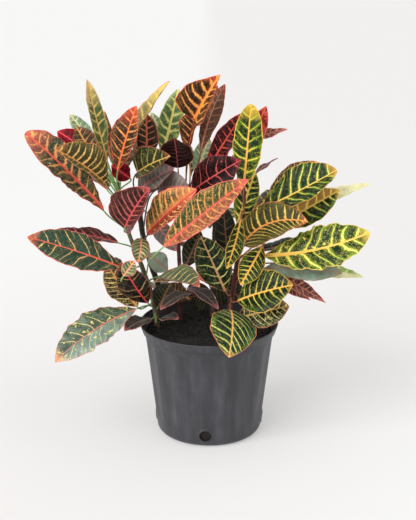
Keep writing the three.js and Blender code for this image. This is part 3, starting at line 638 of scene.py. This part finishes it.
def plastic_material():
    """Dusty black plastic with fine upright streaks; painted shade darkens the inside of the pot and the
    flute grooves, and a painted highlight lightens the ridges between the flutes.
    """
    g = Graph("black_nursery_plastic")
    place = g.place()
    streaks = g.noise(90.0, g.vector("MULTIPLY", {0: place, 1: (1.0, 1.0, 0.12)}), 5.0)
    cloudy = g.noise(14.0, place, 4.0)
    dust = g.ramp(g.add(g.mul(streaks, 0.5), g.mul(cloudy, 0.5)), 0.42, 0.68)
    speck = g.ramp(g.noise(900.0, place, 2.0), 0.68, 0.76)
    colour = g.mix(dust, tuple(srgb(48, 48, 53)), tuple(srgb(68, 68, 74)))
    colour = g.mix(g.mul(speck, 0.2), colour, tuple(srgb(110, 108, 104)))
    # Painted shade: faces that look inwards, on the pot's inner wall, are darkened down to a third of their
    # colour.
    radial = g.vector("NORMALIZE", {0: g.vector("MULTIPLY", {0: place, 1: (1.0, 1.0, 0.0)})})
    normal = g.node("ShaderNodeNewGeometry", {}).outputs["Normal"]
    facing_out_for_shade = g.vector("DOT_PRODUCT", {0: radial, 1: normal}, "Value")
    colour = g.scaled(colour, g.ramp(facing_out_for_shade, -0.5, 0.0, 0.3, 1.0))
    # Painted shade in the flute grooves (colour down to 0.82) and a painted highlight on the ridges between
    # them (up to 1.16), fading out towards the foot and under the rim band.
    x, y, height = g.parts(place)
    groove = g.math("COSINE", g.mul(g.math("ARCTAN2", y, x), float(FLUTE_COUNT)))
    foot = g.ramp(height, FLUTE_BOTTOM * MM, FLUTE_FULL * MM)
    top = g.ramp(height, FLUTE_TOP * MM, (FLUTE_TOP - FLUTE_ARCH) * MM)
    colour = g.scaled(colour, g.ramp(g.mul(groove, g.mul(foot, top)), -1.0, 1.0, 1.16, 0.82))
    g.bump(g.add(g.noise(600.0, place, 2.0), g.mul(streaks, 0.6)), 0.12, 0.0006)
    return g.finish(base_color=colour, roughness=g.ramp(cloudy, 0.3, 0.7, 0.42, 0.58), coat_weight=0.05)


def soil_material():
    g = Graph("damp_potting_soil")
    place = g.place()
    grain = g.noise(260.0, place, 6.0)
    patches = g.noise(38.0, place, 3.0)
    colour = g.mix(g.ramp(patches, 0.35, 0.65), tuple(srgb(11, 9, 8)), tuple(srgb(32, 26, 22)))
    colour = g.mix(g.ramp(grain, 0.62, 0.74, 0.0, 0.4), colour, tuple(srgb(74, 60, 48)))
    g.bump(grain, 0.8, 0.0025)
    return g.finish(base_color=colour, roughness=g.ramp(grain, 0.3, 0.7, 0.75, 0.95))


# Mesh building


def add_object(name, data):
    made = bpy.data.objects.new(name, data)
    bpy.context.scene.collection.objects.link(made)
    return made


def mesh_piece(name, points, faces, *materials):
    """A smooth piece from points in millimetres."""
    mesh = bpy.data.meshes.new(name)
    mesh.from_pydata((np.asarray(points) * MM).tolist(), [], faces)
    mesh.polygons.foreach_set("use_smooth", [True] * len(faces))
    for material in materials:
        mesh.materials.append(material)
    return add_object(name, mesh)


def grid(rows, columns, wrap=False):
    """The quads of a grid of points, row by row, and each corner's column and row."""
    across = columns if wrap else columns - 1
    i, j = (index.ravel() for index in np.meshgrid(np.arange(rows - 1), np.arange(across), indexing="ij"))
    k = (j + 1) % columns
    faces = np.stack([i * columns + j, i * columns + k, (i + 1) * columns + k, (i + 1) * columns + j], 1)
    corners = np.stack([np.stack(pair, 1) for pair in ((j, i), (j + 1, i), (j + 1, i + 1), (j, i + 1))], 1)
    return faces, corners.astype(float)


def tube_ends(rows, columns):
    """The first and the last ring of a wrapped grid, as faces."""
    return [list(range(columns))[::-1], list(range((rows - 1) * columns, rows * columns))]


def shelf_pack(sizes):
    """Places rectangles on shelves inside the unit square, as large as they fit. It returns the
    scale that they take and the corner of each."""
    order = sorted(range(len(sizes)), key=lambda index: -sizes[index][1])
    scale = 1 / math.sqrt(sum(width * height for width, height in sizes))
    while True:
        places, x, y, shelf = {}, 0.0, 0.0, 0.0
        for index in order:
            width, height = (side * scale for side in sizes[index])
            if x + width > 1:
                x, y, shelf = 0.0, y + shelf, 0.0
            shelf = max(shelf, height)
            places[index] = (x, y)
            x += width
        if y + shelf <= 1 and max(width for width, _ in sizes) * scale <= 1:
            return scale, places
        scale *= 0.98


FIELDS = {"place": 3, "style": 3, "tone": 3, "surface": 3, "lean": 1, **dict.fromkeys(COLOURS, 4)}
KINDS = {1: ("FLOAT", "value"), 3: ("FLOAT_VECTOR", "vector"), 4: ("FLOAT_COLOR", "color")}
UV_PADDING = 1.5
BLADE_SLOT, STALK_SLOT, BARK_SLOT = range(3)


class Patchwork:
    """Gathers the patches of one piece: points and faces in millimetres, materials, fields and UVs."""

    def __init__(self):
        self.points, self.faces, self.slots = [], [], []
        self.corners, self.sizes, self.owners = [], [], []
        self.fields = {name: [] for name in FIELDS}
        self.count = 0

    def add(self, points, faces, corners, size, slot, **fields):
        """Faces are lists of point numbers, and corners their places in the patch's own UV rectangle."""
        self.points.append(points)
        self.faces += [[number + self.count for number in face] for face in faces]
        self.slots += [slot] * len(faces)
        self.corners += corners
        self.owners += [len(self.sizes)] * len(faces)
        self.sizes.append((size[0] + 2 * UV_PADDING, size[1] + 2 * UV_PADDING))
        self.count += len(points)
        for name, width in FIELDS.items():
            value = np.asarray(fields.get(name, 0.0), float)
            self.fields[name].append(np.broadcast_to(value, (len(points), width)))

    def build(self, name, materials):
        piece = mesh_piece(name, np.concatenate(self.points), self.faces, *materials)
        mesh = piece.data
        mesh.polygons.foreach_set("material_index", self.slots)
        for field, width in FIELDS.items():
            kind, key = KINDS[width]
            values = np.concatenate(self.fields[field]).astype(np.float32).ravel()
            mesh.attributes.new(field, kind, "POINT").data.foreach_set(key, values)
        scale, places = shelf_pack(self.sizes)
        corners = []
        for owner, face in zip(self.owners, self.corners):
            x, y = places[owner]
            corners += [(x + (u + UV_PADDING) * scale, y + (v + UV_PADDING) * scale) for u, v in face]
        mesh.uv_layers.new(name="OFBake").data.foreach_set("uv", np.array(corners).ravel())
        mesh.validate()
        mesh.set_sharp_from_angle(angle=SHARP_BLADE)
        return piece


def unit(vectors):
    return vectors / np.maximum(np.linalg.norm(vectors, axis=-1, keepdims=True), 1e-9)


def bezier(controls, share):
    """Points and directions of a cubic curve through four control points."""
    a, b, c, d = controls
    t = np.asarray(share, float)[:, None]
    points = (1 - t) ** 3 * a + 3 * (1 - t) ** 2 * t * b + 3 * (1 - t) * t * t * c + t**3 * d
    slopes = (1 - t) ** 2 * (b - a) + 2 * (1 - t) * t * (c - b) + t * t * (d - c)
    return points, unit(slopes)


def outline(share, rounded, pointed):
    """Half the blade's width along its length, 1 where it is widest."""
    widest = rounded / (rounded + pointed)
    return (share / widest) ** rounded * ((1 - share) / (1 - widest)) ** pointed


def arc_lengths(points):
    return np.append(0, np.cumsum(np.linalg.norm(np.diff(points, axis=0), axis=1)))


def rib_curve(shape):
    """The rib's control points, and the directions of the blade's upper face and right hand side."""
    base, tip = np.array(shape["base"], float), np.array(shape["tip"], float)
    chord = unit(tip - base)
    facing = np.array(shape["facing"], float)
    face = unit(facing - facing.dot(chord) * chord)
    side = np.cross(chord, face)
    bulge = (face * shape["arch"] + side * shape["sweep"]) * 4 / 3
    third = (tip - base) / 3
    return [base, base + third + bulge, base + 2 * third + bulge, tip], face, side


def blade_colours(shape, share, across):
    """The fields of colour for the points of a blade, which change with place along and across it."""
    worn = shape["look"]
    tinted = 0.8 * np.clip((share - worn["tip_from"]) / (1 - worn["tip_from"]), 0, 1)[:, None] ** 0.7
    fields = {name: np.tile(worn[name], (len(share), 1)) for name in COLOURS}
    for name, half in (("left", across < 0), ("right", across > 0)):
        if shape[name]:
            cells = srgb(*shape[name])
            fields["blade"][half] = cells
            fields["glow"][half] = np.minimum(2 * cells, 1)
    for name in ("blade", "glow"):
        fields[name] = fields[name] * (1 - tinted) + worn["tip"] * tinted
    return fields


def ripples(share, cycles, rng):
    """Waves of mixed lengths along a margin, between about -1 and 1, which die out at both ends."""
    waves = [np.sin(math.tau * (count * share + rng.uniform())) / (1 + k) for k, count in enumerate(cycles)]
    return sum(waves) * np.sin(math.pi * share) ** 0.4 / 1.5


def margins(height, lengths, span, share, rng):
    """Ripples of one height and of the given lengths in millimetres, for the left and the right margin."""
    cycles = [span / length for length in lengths]
    return [height * ripples(share, cycles, rng)[:, None] for _ in range(2)]


def blade_skins(shape, share, spread, spacing, half, frill):
    """The blade's upper and lower points, row by row, and the lengths along its rib."""
    controls, face, _ = rib_curve(shape)
    centre, along = bezier(controls, share)
    normal = unit(face - (along @ face)[:, None] * along)
    across = np.cross(along, normal)
    length = arc_lengths(centre)
    off_rib = np.abs(spread)[None]
    on_left = spread[None] < 0
    swing = math.tau * WAVES_PER_BLADE * share
    height = WAVE_HEIGHT * np.sin(math.pi * share)
    waves = np.where(on_left, *((height * np.sin(swing + shift))[:, None] for shift in (0, WAVE_SHIFT)))
    distance = off_rib * half
    lean = np.where(on_left, *shape["slants"])
    leaning = length[:, None] - (lean + VEIN_CURVE * distance) * distance
    slanted = leaning + VEIN_STAGGER * np.sign(spread)[None]
    quilting = -QUILTING * np.cos(math.tau * slanted / spacing) * np.minimum(distance / 8, 1)
    cupped = CUPPING * half * 4 * (np.abs(spread) - spread**2)[None]
    least = math.sqrt(FOLD_SOFTNESS)
    soft = (np.sqrt(spread**2 + FOLD_SOFTNESS) - least) / (math.sqrt(1 + FOLD_SOFTNESS) - least)
    fold = math.radians(shape["fold"])
    folded = half * math.sin(fold) * soft[None]
    lift = folded + waves * off_rib**1.3 + cupped + quilting + frill * off_rib**3
    reach = half * math.cos(fold) * spread[None]
    middle = centre[:, None] + across[:, None] * reach[..., None] + normal[:, None] * lift[..., None]
    skin = (BLADE_THICKNESS / 2) * (1 - 0.45 * np.abs(spread) ** 4)[None, :, None] * normal[:, None]
    return (middle + skin).reshape(-1, 3), (middle - skin).reshape(-1, 3), length


def blade_edge(rows, cell):
    """The narrow faces round a blade, between its two skins, and their corners in the UV patch."""
    numbers = np.arange(rows * COLUMNS).reshape(rows, COLUMNS)
    loop = np.concatenate([numbers[0], numbers[1:, -1], numbers[-1, -2::-1], numbers[-2:0:-1, 0]])
    following = np.roll(loop, -1)
    faces = np.stack([following, loop, loop + numbers.size, following + numbers.size], 1)
    loop_uv = np.stack([loop % COLUMNS, loop // COLUMNS], 1) * cell
    next_uv = np.roll(loop_uv, -1, axis=0)
    return faces, np.stack([next_uv, loop_uv, loop_uv, next_uv], 1)


def add_blade(patches, shape, rng):
    """A blade with an upper and a lower skin, whose two halves draw their margins separately."""
    span = math.dist(shape["base"], shape["tip"])
    rows = int(np.clip(span / ROW_LENGTH, *ROW_LIMITS))
    share = np.linspace(BLADE_START, BLADE_END, rows)
    spread = np.linspace(-1, 1, COLUMNS)
    spread = np.sign(spread) * np.abs(spread) ** COLUMN_CROWDING
    on_left = spread[None] < 0
    uneven = margins(RAGGED_DEPTH * shape["ragged"], RAGGED_WAVES, span, share, rng)
    half = shape["width"] / 2 * outline(share, shape["round"], shape["point"])
    half = np.maximum(half[:, None] * (1 + np.where(on_left, *uneven)), NARROWEST)
    frill = np.where(on_left, *margins(FRILL_HEIGHT * shape["ragged"], FRILL_WAVES, span, share, rng))
    worn = shape["look"]
    spacing = np.clip(span * worn["gap"] * rng.uniform(0.92, 1.08), *VEIN_SPACING)
    top, bottom, length = blade_skins(shape, share, spread, spacing, half, frill)
    faces, corners = grid(rows, COLUMNS)
    size = (2 * half.max(), length[-1])
    cell = np.array([size[0] / (COLUMNS - 1), size[1] / (rows - 1)])
    top_uv = (corners * cell).tolist()
    bottom_uv = (corners[:, ::-1] * cell + [size[0] + UV_PADDING, 0]).tolist()
    edge, edge_uv = blade_edge(rows, cell)
    under = rows * COLUMNS
    lengths, shares = (np.tile(np.repeat(values, COLUMNS), 2) for values in (length, share))
    halves, spreads = np.tile(half.ravel(), 2), np.tile(spread, 2 * rows)
    patches.add(
        np.concatenate([top, bottom]),
        np.concatenate([faces, faces[:, ::-1] + under, edge]).tolist(),
        top_uv + bottom_uv + edge_uv.tolist(),
        (2 * size[0] + UV_PADDING, size[1]),
        BLADE_SLOT,
        place=np.stack([lengths, spreads * halves, halves], 1),
        style=(spacing, worn["width"], rng.integers(1, 999)),
        tone=(worn["mottle"], worn["net"], worn["halo"]),
        surface=np.repeat([(worn["gloss"], worn["flare"], lower) for lower in (0, 1)], under, axis=0),
        lean=np.where(spreads < 0, *shape["slants"])[:, None],
        **blade_colours(shape, shares, spreads),
    )


def tube(patches, centre, along, across, radii, heights, sides, slot, tint):
    """A round or flattened tube along a row of centre points, closed at both ends."""
    up = np.cross(across, along)
    turn = np.linspace(0, math.tau, sides, endpoint=False)
    ring = np.cos(turn)[None, :, None] * (radii[..., None] * across)[:, None]
    ring = ring + np.sin(turn)[None, :, None] * (heights[..., None] * up)[:, None]
    rows = len(centre)
    faces, corners = grid(rows, sides, wrap=True)
    length = arc_lengths(centre)
    girth = math.tau * radii.max()
    cell = np.array([girth / sides, length[-1] / (rows - 1)])
    corner = [[0.2 * girth, 0.0]] * sides
    round_place = np.tile(turn, rows) * radii.mean() * 3
    patches.add(
        (centre[:, None] + ring).reshape(-1, 3),
        faces.tolist() + tube_ends(rows, sides),
        (corners * cell).tolist() + [corner, corner],
        (girth, length[-1]),
        slot,
        place=np.stack([np.repeat(length, sides), round_place, np.zeros(rows * sides)], 1),
        rib=np.repeat(tint, sides, axis=0),
    )


def add_stalk(patches, shape, root, colour, rng):
    """The leaf stalk, which runs on under the blade as its rib."""
    controls, _, side = rib_curve(shape)
    base = controls[0]
    start = unit(controls[1] - base)
    reach = np.linalg.norm(base - root) * STALK_REACH
    outwards = unit(unit(base - root) + np.array([0, 0, STALK_LIFT]))
    bends = [root, root + outwards * reach, base - start * reach, base]
    stalk, stalk_along = bezier(bends, np.linspace(0, 1, STALK_ROWS, endpoint=False))
    share = np.linspace(0, BLADE_END, RIB_ROWS)
    rib, rib_along = bezier(controls, share)
    centre = np.concatenate([stalk, rib])
    along = np.concatenate([stalk_along, rib_along])
    across = unit(side - (along @ side)[:, None] * along)
    up = np.cross(across, along)
    flat = np.concatenate([np.zeros(len(stalk)), np.clip(share * 8, 0, 1)])
    rib_radius = RIB_TIP_RADIUS + (shape["look"]["width"] * RIB_SHARE - RIB_TIP_RADIUS) * (1 - share) ** 0.8
    swelling = 1 + STALK_SWELLING * np.exp(-arc_lengths(stalk) / SWELLING_LENGTH)
    radii = np.concatenate([STALK_RADIUS * swelling, np.minimum(rib_radius, STALK_RADIUS)])
    heights = radii * (1 - RIB_FLATNESS * flat)
    centre = centre - up * (flat * (heights - RIB_PROUD - BLADE_THICKNESS / 2))[:, None]
    blend = np.clip(flat * 1.2, 0, 1)[:, None]
    tint = (colour * (1 - blend) + shape["look"]["rib"] * blend) * rng.uniform(0.85, 1.15)
    tube(patches, centre, along, across, radii, heights, STALK_SIDES, STALK_SLOT, tint)


def catmull_rom(points, count):
    """Evenly spaced points on the smooth curve that passes through the given ones."""
    points = np.array(points, float)
    padded = np.concatenate([[2 * points[0] - points[1]], points, [2 * points[-1] - points[-2]]])
    dense = []
    for a, b, c, d in zip(padded, padded[1:], padded[2:], padded[3:]):
        t = np.linspace(0, 1, 40, endpoint=False)[:, None]
        bend = (2 * a - 5 * b + 4 * c - d) * t**2
        dense.append((2 * b + (c - a) * t + bend + (3 * b - a - 3 * c + d) * t**3) / 2)
    dense = np.concatenate(dense + [points[-1:]])
    length = arc_lengths(dense)
    even = np.linspace(0, length[-1], count)
    return np.stack([np.interp(even, length, dense[:, axis]) for axis in range(3)], 1)


def stem_line(stem, count):
    x, y, z = stem["route"][0]
    return catmull_rom([(x, y, STEM_FOOT), (x, y, (STEM_FOOT + z) / 2), *stem["route"]], count)


def add_bark(patches, stem, rng):
    """The stem itself, which swells a little at the scars of lost leaves."""
    centre = stem_line(stem, BARK_ROWS)
    along = unit(np.gradient(centre, axis=0))
    across = unit(np.array([1.0, 0, 0]) - along[:, :1] * along)
    share = np.linspace(0, 1, len(centre))
    thick, thin = stem["radii"]
    length = arc_lengths(centre)
    scars = np.exp(-(((length + rng.uniform(0, 9)) % SCAR_SPACING - 3) ** 2) / 3)
    radii = (thick + (thin - thick) * share) * (0.97 + 0.1 * scars) + 0.12 * np.sin(length * 0.9)
    low, high = (srgb(*colour) for colour in stem["bark"])
    climb = np.clip((share - 0.45) / 0.4, 0, 1)[:, None]
    tint = (low * (1 - climb) + high * climb) * (1 - 0.25 * scars[:, None])
    tube(patches, centre, along, across, radii, radii, BARK_SIDES, BARK_SLOT, tint)


def leafy_stem(stem, materials, seed):
    rng = np.random.default_rng(seed)
    patches = Patchwork()
    line = stem_line(stem, 200)
    add_bark(patches, stem, rng)
    for shape in stem["leaves"]:
        root = line[min(np.searchsorted(line[:, 2], shape["root"]), len(line) - 1)]
        add_blade(patches, shape, rng)
        add_stalk(patches, shape, root, srgb(*stem["stalk"]), rng)
    piece = patches.build(stem["name"] + "_foliage", materials)
    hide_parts(stem["name"])
    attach(piece, "root")


# Pot and soil


def wall_radius(height):
    wall_top = POT_HEIGHT - RIM_BAND_HEIGHT - 2
    return BASE_RADIUS + (WALL_TOP_RADIUS - BASE_RADIUS) * (height - BASE_CORNER) / (wall_top - BASE_CORNER)


def smooth_step(value, low, high):
    share = np.clip((value - low) / (high - low), 0, 1)
    return share * share * (3 - 2 * share)


def turned_points(profile, turn):
    """Rings of points, one for each radius and height of the profile."""
    radius, height = profile[:, :1], profile[:, 1:]
    return np.stack(np.broadcast_arrays(radius * np.cos(turn), radius * np.sin(turn), height), -1)


def closed_turning(points):
    """Points and faces of a stack of rings, with a flat face on its first and last ring."""
    rows, columns = points.shape[:2]
    return points.reshape(-1, 3), grid(rows, columns, wrap=True)[0].tolist() + tube_ends(rows, columns)


def arc(centre, radius, start, end, steps):
    angles = np.radians(np.linspace(start, end, steps))
    return [(centre[0] + radius * math.cos(a), centre[1] + radius * math.sin(a)) for a in angles]


def wall(low, high, steps):
    return [(wall_radius(height), height) for height in np.linspace(low, high, steps)]


def straight(start, end, shares):
    """Points on a straight line at the given shares of its length."""
    return [tuple(a + (b - a) * share for a, b in zip(start, end)) for share in shares]


def pot_profile():
    """Radius and height along the pot's outside, from under its foot over the rim to its inner floor."""
    band = POT_HEIGHT - RIM_BAND_HEIGHT
    foot = BASE_RADIUS - BASE_CORNER
    inner_top = wall_radius(band - 3) - WALL_THICKNESS
    inner_low = wall_radius(BASE_CORNER) - WALL_THICKNESS
    lip = LIP_WIDTH / 2
    return np.array(
        [(radius, 0) for radius in (3, 30, 60, foot - 4)]
        + arc((foot, BASE_CORNER), BASE_CORNER, -90, -4, 9)
        + wall(BASE_CORNER + 2, DRAIN_HEIGHT + 18, 19)
        + wall(DRAIN_HEIGHT + 22, FLUTE_TOP - 14, 26)
        + wall(FLUTE_TOP - 12, band - 3, 12)
        + arc((wall_radius(band) + RIM_STEP_RADIUS, band - RIM_STEP_RADIUS), RIM_STEP_RADIUS, 180, 100, 5)
        + arc((RIM_BAND_RADIUS - 0.2, band + RIM_EDGE_RADIUS), RIM_EDGE_RADIUS, -80, 0, 5)
        + straight((RIM_BAND_RADIUS + 1.2, band + 2), (RIM_RADIUS - 0.4, band + 13), (0.1, 0.4, 0.7, 1))
        + arc((RIM_RADIUS - lip, POT_HEIGHT - lip), lip, -10, 190, 12)
        + [(RIM_BAND_RADIUS - 0.6, band + WALL_THICKNESS + 2), (inner_top + 1, band - 1)]
        + straight((inner_top, band - 3), (inner_low, BASE_CORNER), np.linspace(0, 1, 12))
        + [(radius, FLOOR_THICKNESS) for radius in (inner_low - BASE_CORNER + FLOOR_THICKNESS, 40, 3)]
    )


def flute_groove(turn, height):
    """Grooves with arched tops that fade towards the foot."""
    ridge = (1 + np.cos(FLUTE_COUNT * turn)) / 2
    arch_top = FLUTE_TOP - FLUTE_ARCH * (1 - ridge)
    fade_up = 1 - smooth_step(height, arch_top - 7, arch_top)
    fade_down = smooth_step(height, FLUTE_BOTTOM, FLUTE_FULL)
    return FLUTE_DEPTH * ridge**0.8 * fade_up * fade_down


def hole_lip(turn, height):
    """A rounded lip raised round each drain hole."""
    step = math.tau / DRAIN_COUNT
    aside = ((turn - DRAIN_ANGLE + step / 2) % step - step / 2) * BASE_RADIUS
    away = np.hypot(aside, height - DRAIN_HEIGHT) - DRAIN_RADIUS
    return HOLE_LIP * np.exp(-((away / HOLE_LIP_SPREAD) ** 2))


def drain_drill(angle, material):
    """A rod through the pot's wall, where a drain hole goes."""
    outward = np.array([math.cos(angle), math.sin(angle), 0])
    sideways = np.array([-math.sin(angle), math.cos(angle), 0])
    turn = np.linspace(0, math.tau, DRAIN_SIDES, endpoint=False)
    circle = np.cos(turn)[:, None] * sideways + np.sin(turn)[:, None] * np.array([0, 0, 1.0])
    hole = circle * DRAIN_RADIUS
    rings = [outward * (BASE_RADIUS + depth) + hole for depth in (-DRILL_REACH, DRILL_REACH)]
    return mesh_piece("drill", *closed_turning(np.array(rings) + [0, 0, DRAIN_HEIGHT]), material)


def make_pot(material):
    profile = pot_profile()
    turn = np.linspace(0, math.tau, ROUND_STEPS, endpoint=False)
    points = turned_points(profile, turn)
    outside = np.arange(len(profile)) < np.argmax(profile[:, 1])
    groove = flute_groove(turn[None], profile[:, 1:]) - hole_lip(turn[None], profile[:, 1:])
    groove = np.where(outside[:, None] & (profile[:, :1] > BASE_RADIUS - BASE_CORNER), groove, 0)
    points[..., :2] *= (1 - groove / profile[:, :1])[..., None]
    pot = mesh_piece("pot_moulded", *closed_turning(points), material)
    drills = [drain_drill(DRAIN_ANGLE + k * math.tau / DRAIN_COUNT, material) for k in range(DRAIN_COUNT)]
    for drill in drills:
        cut = pot.modifiers.new("drain", "BOOLEAN")
        cut.operation = "DIFFERENCE"
        cut.solver = "EXACT"
        cut.object = drill
    graph = bpy.context.evaluated_depsgraph_get()
    mesh = bpy.data.meshes.new_from_object(pot.evaluated_get(graph))
    pot.modifiers.clear()
    pot.data = mesh
    for drill in drills:
        bpy.data.objects.remove(drill)
    mesh.set_sharp_from_angle(angle=SHARP_MOULDING)
    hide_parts("pot")
    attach(pot, "root")


def soil_height(x, y):
    """How far the soil's lumps rise above its level top."""
    spots = [(height, Vector((x / size, y / size, layer))) for size, layer, height in SOIL_LUMPS]
    return sum(height * noise.noise(spot) for height, spot in spots)


def crumb(rng, centre, size):
    """A rough crumb: a small ball pushed in and out, and flattened."""
    turn = np.linspace(0, math.tau, 9, endpoint=False)
    tilt = np.radians([-70, -35, 0, 35, 70])
    stretch = rng.uniform(*CRUMB_STRETCH, 3) * [1, 1, 0.7]
    ball = turned_points(np.stack([np.cos(tilt), np.sin(tilt)], 1), turn)
    rough = rng.uniform(*CRUMB_ROUGHNESS, ball.shape[:2])
    spin = rng.uniform(0, math.tau)
    shaped = ball * rough[..., None] * stretch * size
    x = shaped[..., 0] * math.cos(spin) - shaped[..., 1] * math.sin(spin)
    y = shaped[..., 0] * math.sin(spin) + shaped[..., 1] * math.cos(spin)
    return closed_turning(np.stack([x, y, shaped[..., 2]], -1) + centre)


def make_soil(material):
    rng = np.random.default_rng(SOIL_SEED)
    top_radius = wall_radius(SOIL_HEIGHT) - WALL_THICKNESS - SOIL_GAP
    low_radius = wall_radius(BASE_CORNER) - WALL_THICKNESS - SOIL_GAP
    foot_radius = low_radius - BASE_CORNER + FLOOR_THICKNESS
    below = [(radius, FLOOR_THICKNESS + SOIL_GAP) for radius in (2, foot_radius)]
    sides = straight((low_radius, BASE_CORNER), (top_radius, SOIL_HEIGHT), np.linspace(0, 1, 8))
    top = [(top_radius * share, SOIL_HEIGHT) for share in np.linspace(0.985, 0.015, SOIL_RINGS)]
    turn = np.linspace(0, math.tau, SOIL_SIDES, endpoint=False)
    points = turned_points(np.array(below + sides + top), turn)
    for row in points[len(below) + len(sides):]:
        for point in row:
            point[2] += SOIL_RISE + soil_height(point[0], point[1])
    ground, all_faces = closed_turning(points)
    all_points, count = [ground], len(ground)
    for _ in range(CRUMB_COUNT):
        radius = (top_radius - CRUMB_MARGIN) * math.sqrt(rng.uniform())
        angle = rng.uniform(0, math.tau)
        x, y = radius * math.cos(angle), radius * math.sin(angle)
        size = rng.choice(CRUMB_SIZES, p=CRUMB_SHARES)
        height = SOIL_HEIGHT + SOIL_RISE + soil_height(x, y) + size * CRUMB_LIFT
        piece, faces = crumb(rng, np.array([x, y, height]), size)
        all_faces += [[number + count for number in face] for face in faces]
        all_points.append(piece)
        count += len(piece)
    soil = mesh_piece("soil_crumbs", np.concatenate(all_points), all_faces, material)
    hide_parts("potting_soil")
    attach(soil, "root")


# Floor, light and camera

PHOTO_HEIGHT_PX = 520
FOCAL_PX = 1275
SENSOR_MM = 36
CAMERA_PLACE = (-0.002, -2.2, 1.031)
CAMERA_PITCH = 17.73
FLOOR_SPAN = 40
FLOOR_GLOW = 0.3
WORLD_STRENGTH = 0.7
LIGHT_TARGET = (0, 0, 0.35)


def add_light(kind, name, place, power, **settings):
    light = bpy.data.lights.new(name, kind)
    light.energy = power
    for setting, value in settings.items():
        setattr(light, setting, value)
    lamp = add_object(name, light)
    lamp.location = place
    lamp.rotation_euler = (Vector(LIGHT_TARGET) - Vector(place)).to_track_quat("-Z", "Y").to_euler()


def floor_material():
    """A pale backdrop with a faint cloud of shade, as behind the plant in the photo."""
    g = Graph("pale_floor")
    x, y, _ = g.parts(g.place())
    diagonal = g.mul(x, g.sub(y, 0.6))
    cloud = g.ramp(g.add(diagonal, g.mul(g.noise(0.7), 0.3)), -0.3, 0.6)
    tint = g.mix(cloud, (0.592, 0.588, 0.583, 1), (0.545, 0.525, 0.512, 1))
    white = (1, 1, 1, 1)
    return g.finish(base_color=tint, roughness=0.9, emission_color=white, emission_strength=FLOOR_GLOW)


def make_studio():
    """A broad even sky lights the floor alike everywhere, and two softboxes draw the gloss."""
    mesh = bpy.data.meshes.new("floor")
    corners = [(x * FLOOR_SPAN, y * FLOOR_SPAN, 0) for x, y in ((-1, -1), (1, -1), (1, 1), (-1, 1))]
    mesh.from_pydata(corners, [], [(0, 1, 2, 3)])
    mesh.materials.append(floor_material())
    floor = add_object("floor", mesh)
    world = bpy.data.worlds.new("studio")
    world.use_nodes = True
    background = world.node_tree.nodes["Background"].inputs
    background["Color"].default_value = (1, 1, 1, 1)
    background["Strength"].default_value = WORLD_STRENGTH
    bpy.context.scene.world = world
    add_light("SUN", "key_sky", (-2.0, -2.4, 2.5), 1.75, angle=math.radians(50))
    add_light("SUN", "fill_sky", (2.4, -1.0, 2.0), 0.22, angle=math.radians(60))
    softbox = {"shape": "RECTANGLE", "size": 0.5, "size_y": 1.6}
    add_light("AREA", "left_softbox", (-1.9, -1.0, 0.9), 9, **softbox)
    add_light("AREA", "right_softbox", (1.9, -0.7, 0.9), 1.2, **softbox)


def make_camera():
    data = bpy.data.cameras.new("camera")
    data.sensor_fit = "VERTICAL"
    data.sensor_height = SENSOR_MM
    data.lens = FOCAL_PX / PHOTO_HEIGHT_PX * SENSOR_MM
    camera = add_object("camera", data)
    camera.location = CAMERA_PLACE
    camera.rotation_euler = (math.radians(90 - CAMERA_PITCH), 0, 0)
    bpy.context.scene.camera = camera
    bpy.context.scene.view_settings.view_transform = "Standard"


foliage_materials = [leaf_material(), stalk_material(), bark_material()]
for number, leafy in enumerate(STEMS):
    leafy_stem(leafy, foliage_materials, STEM_SEED + number)
make_pot(plastic_material())
make_soil(soil_material())
make_studio()
make_camera()
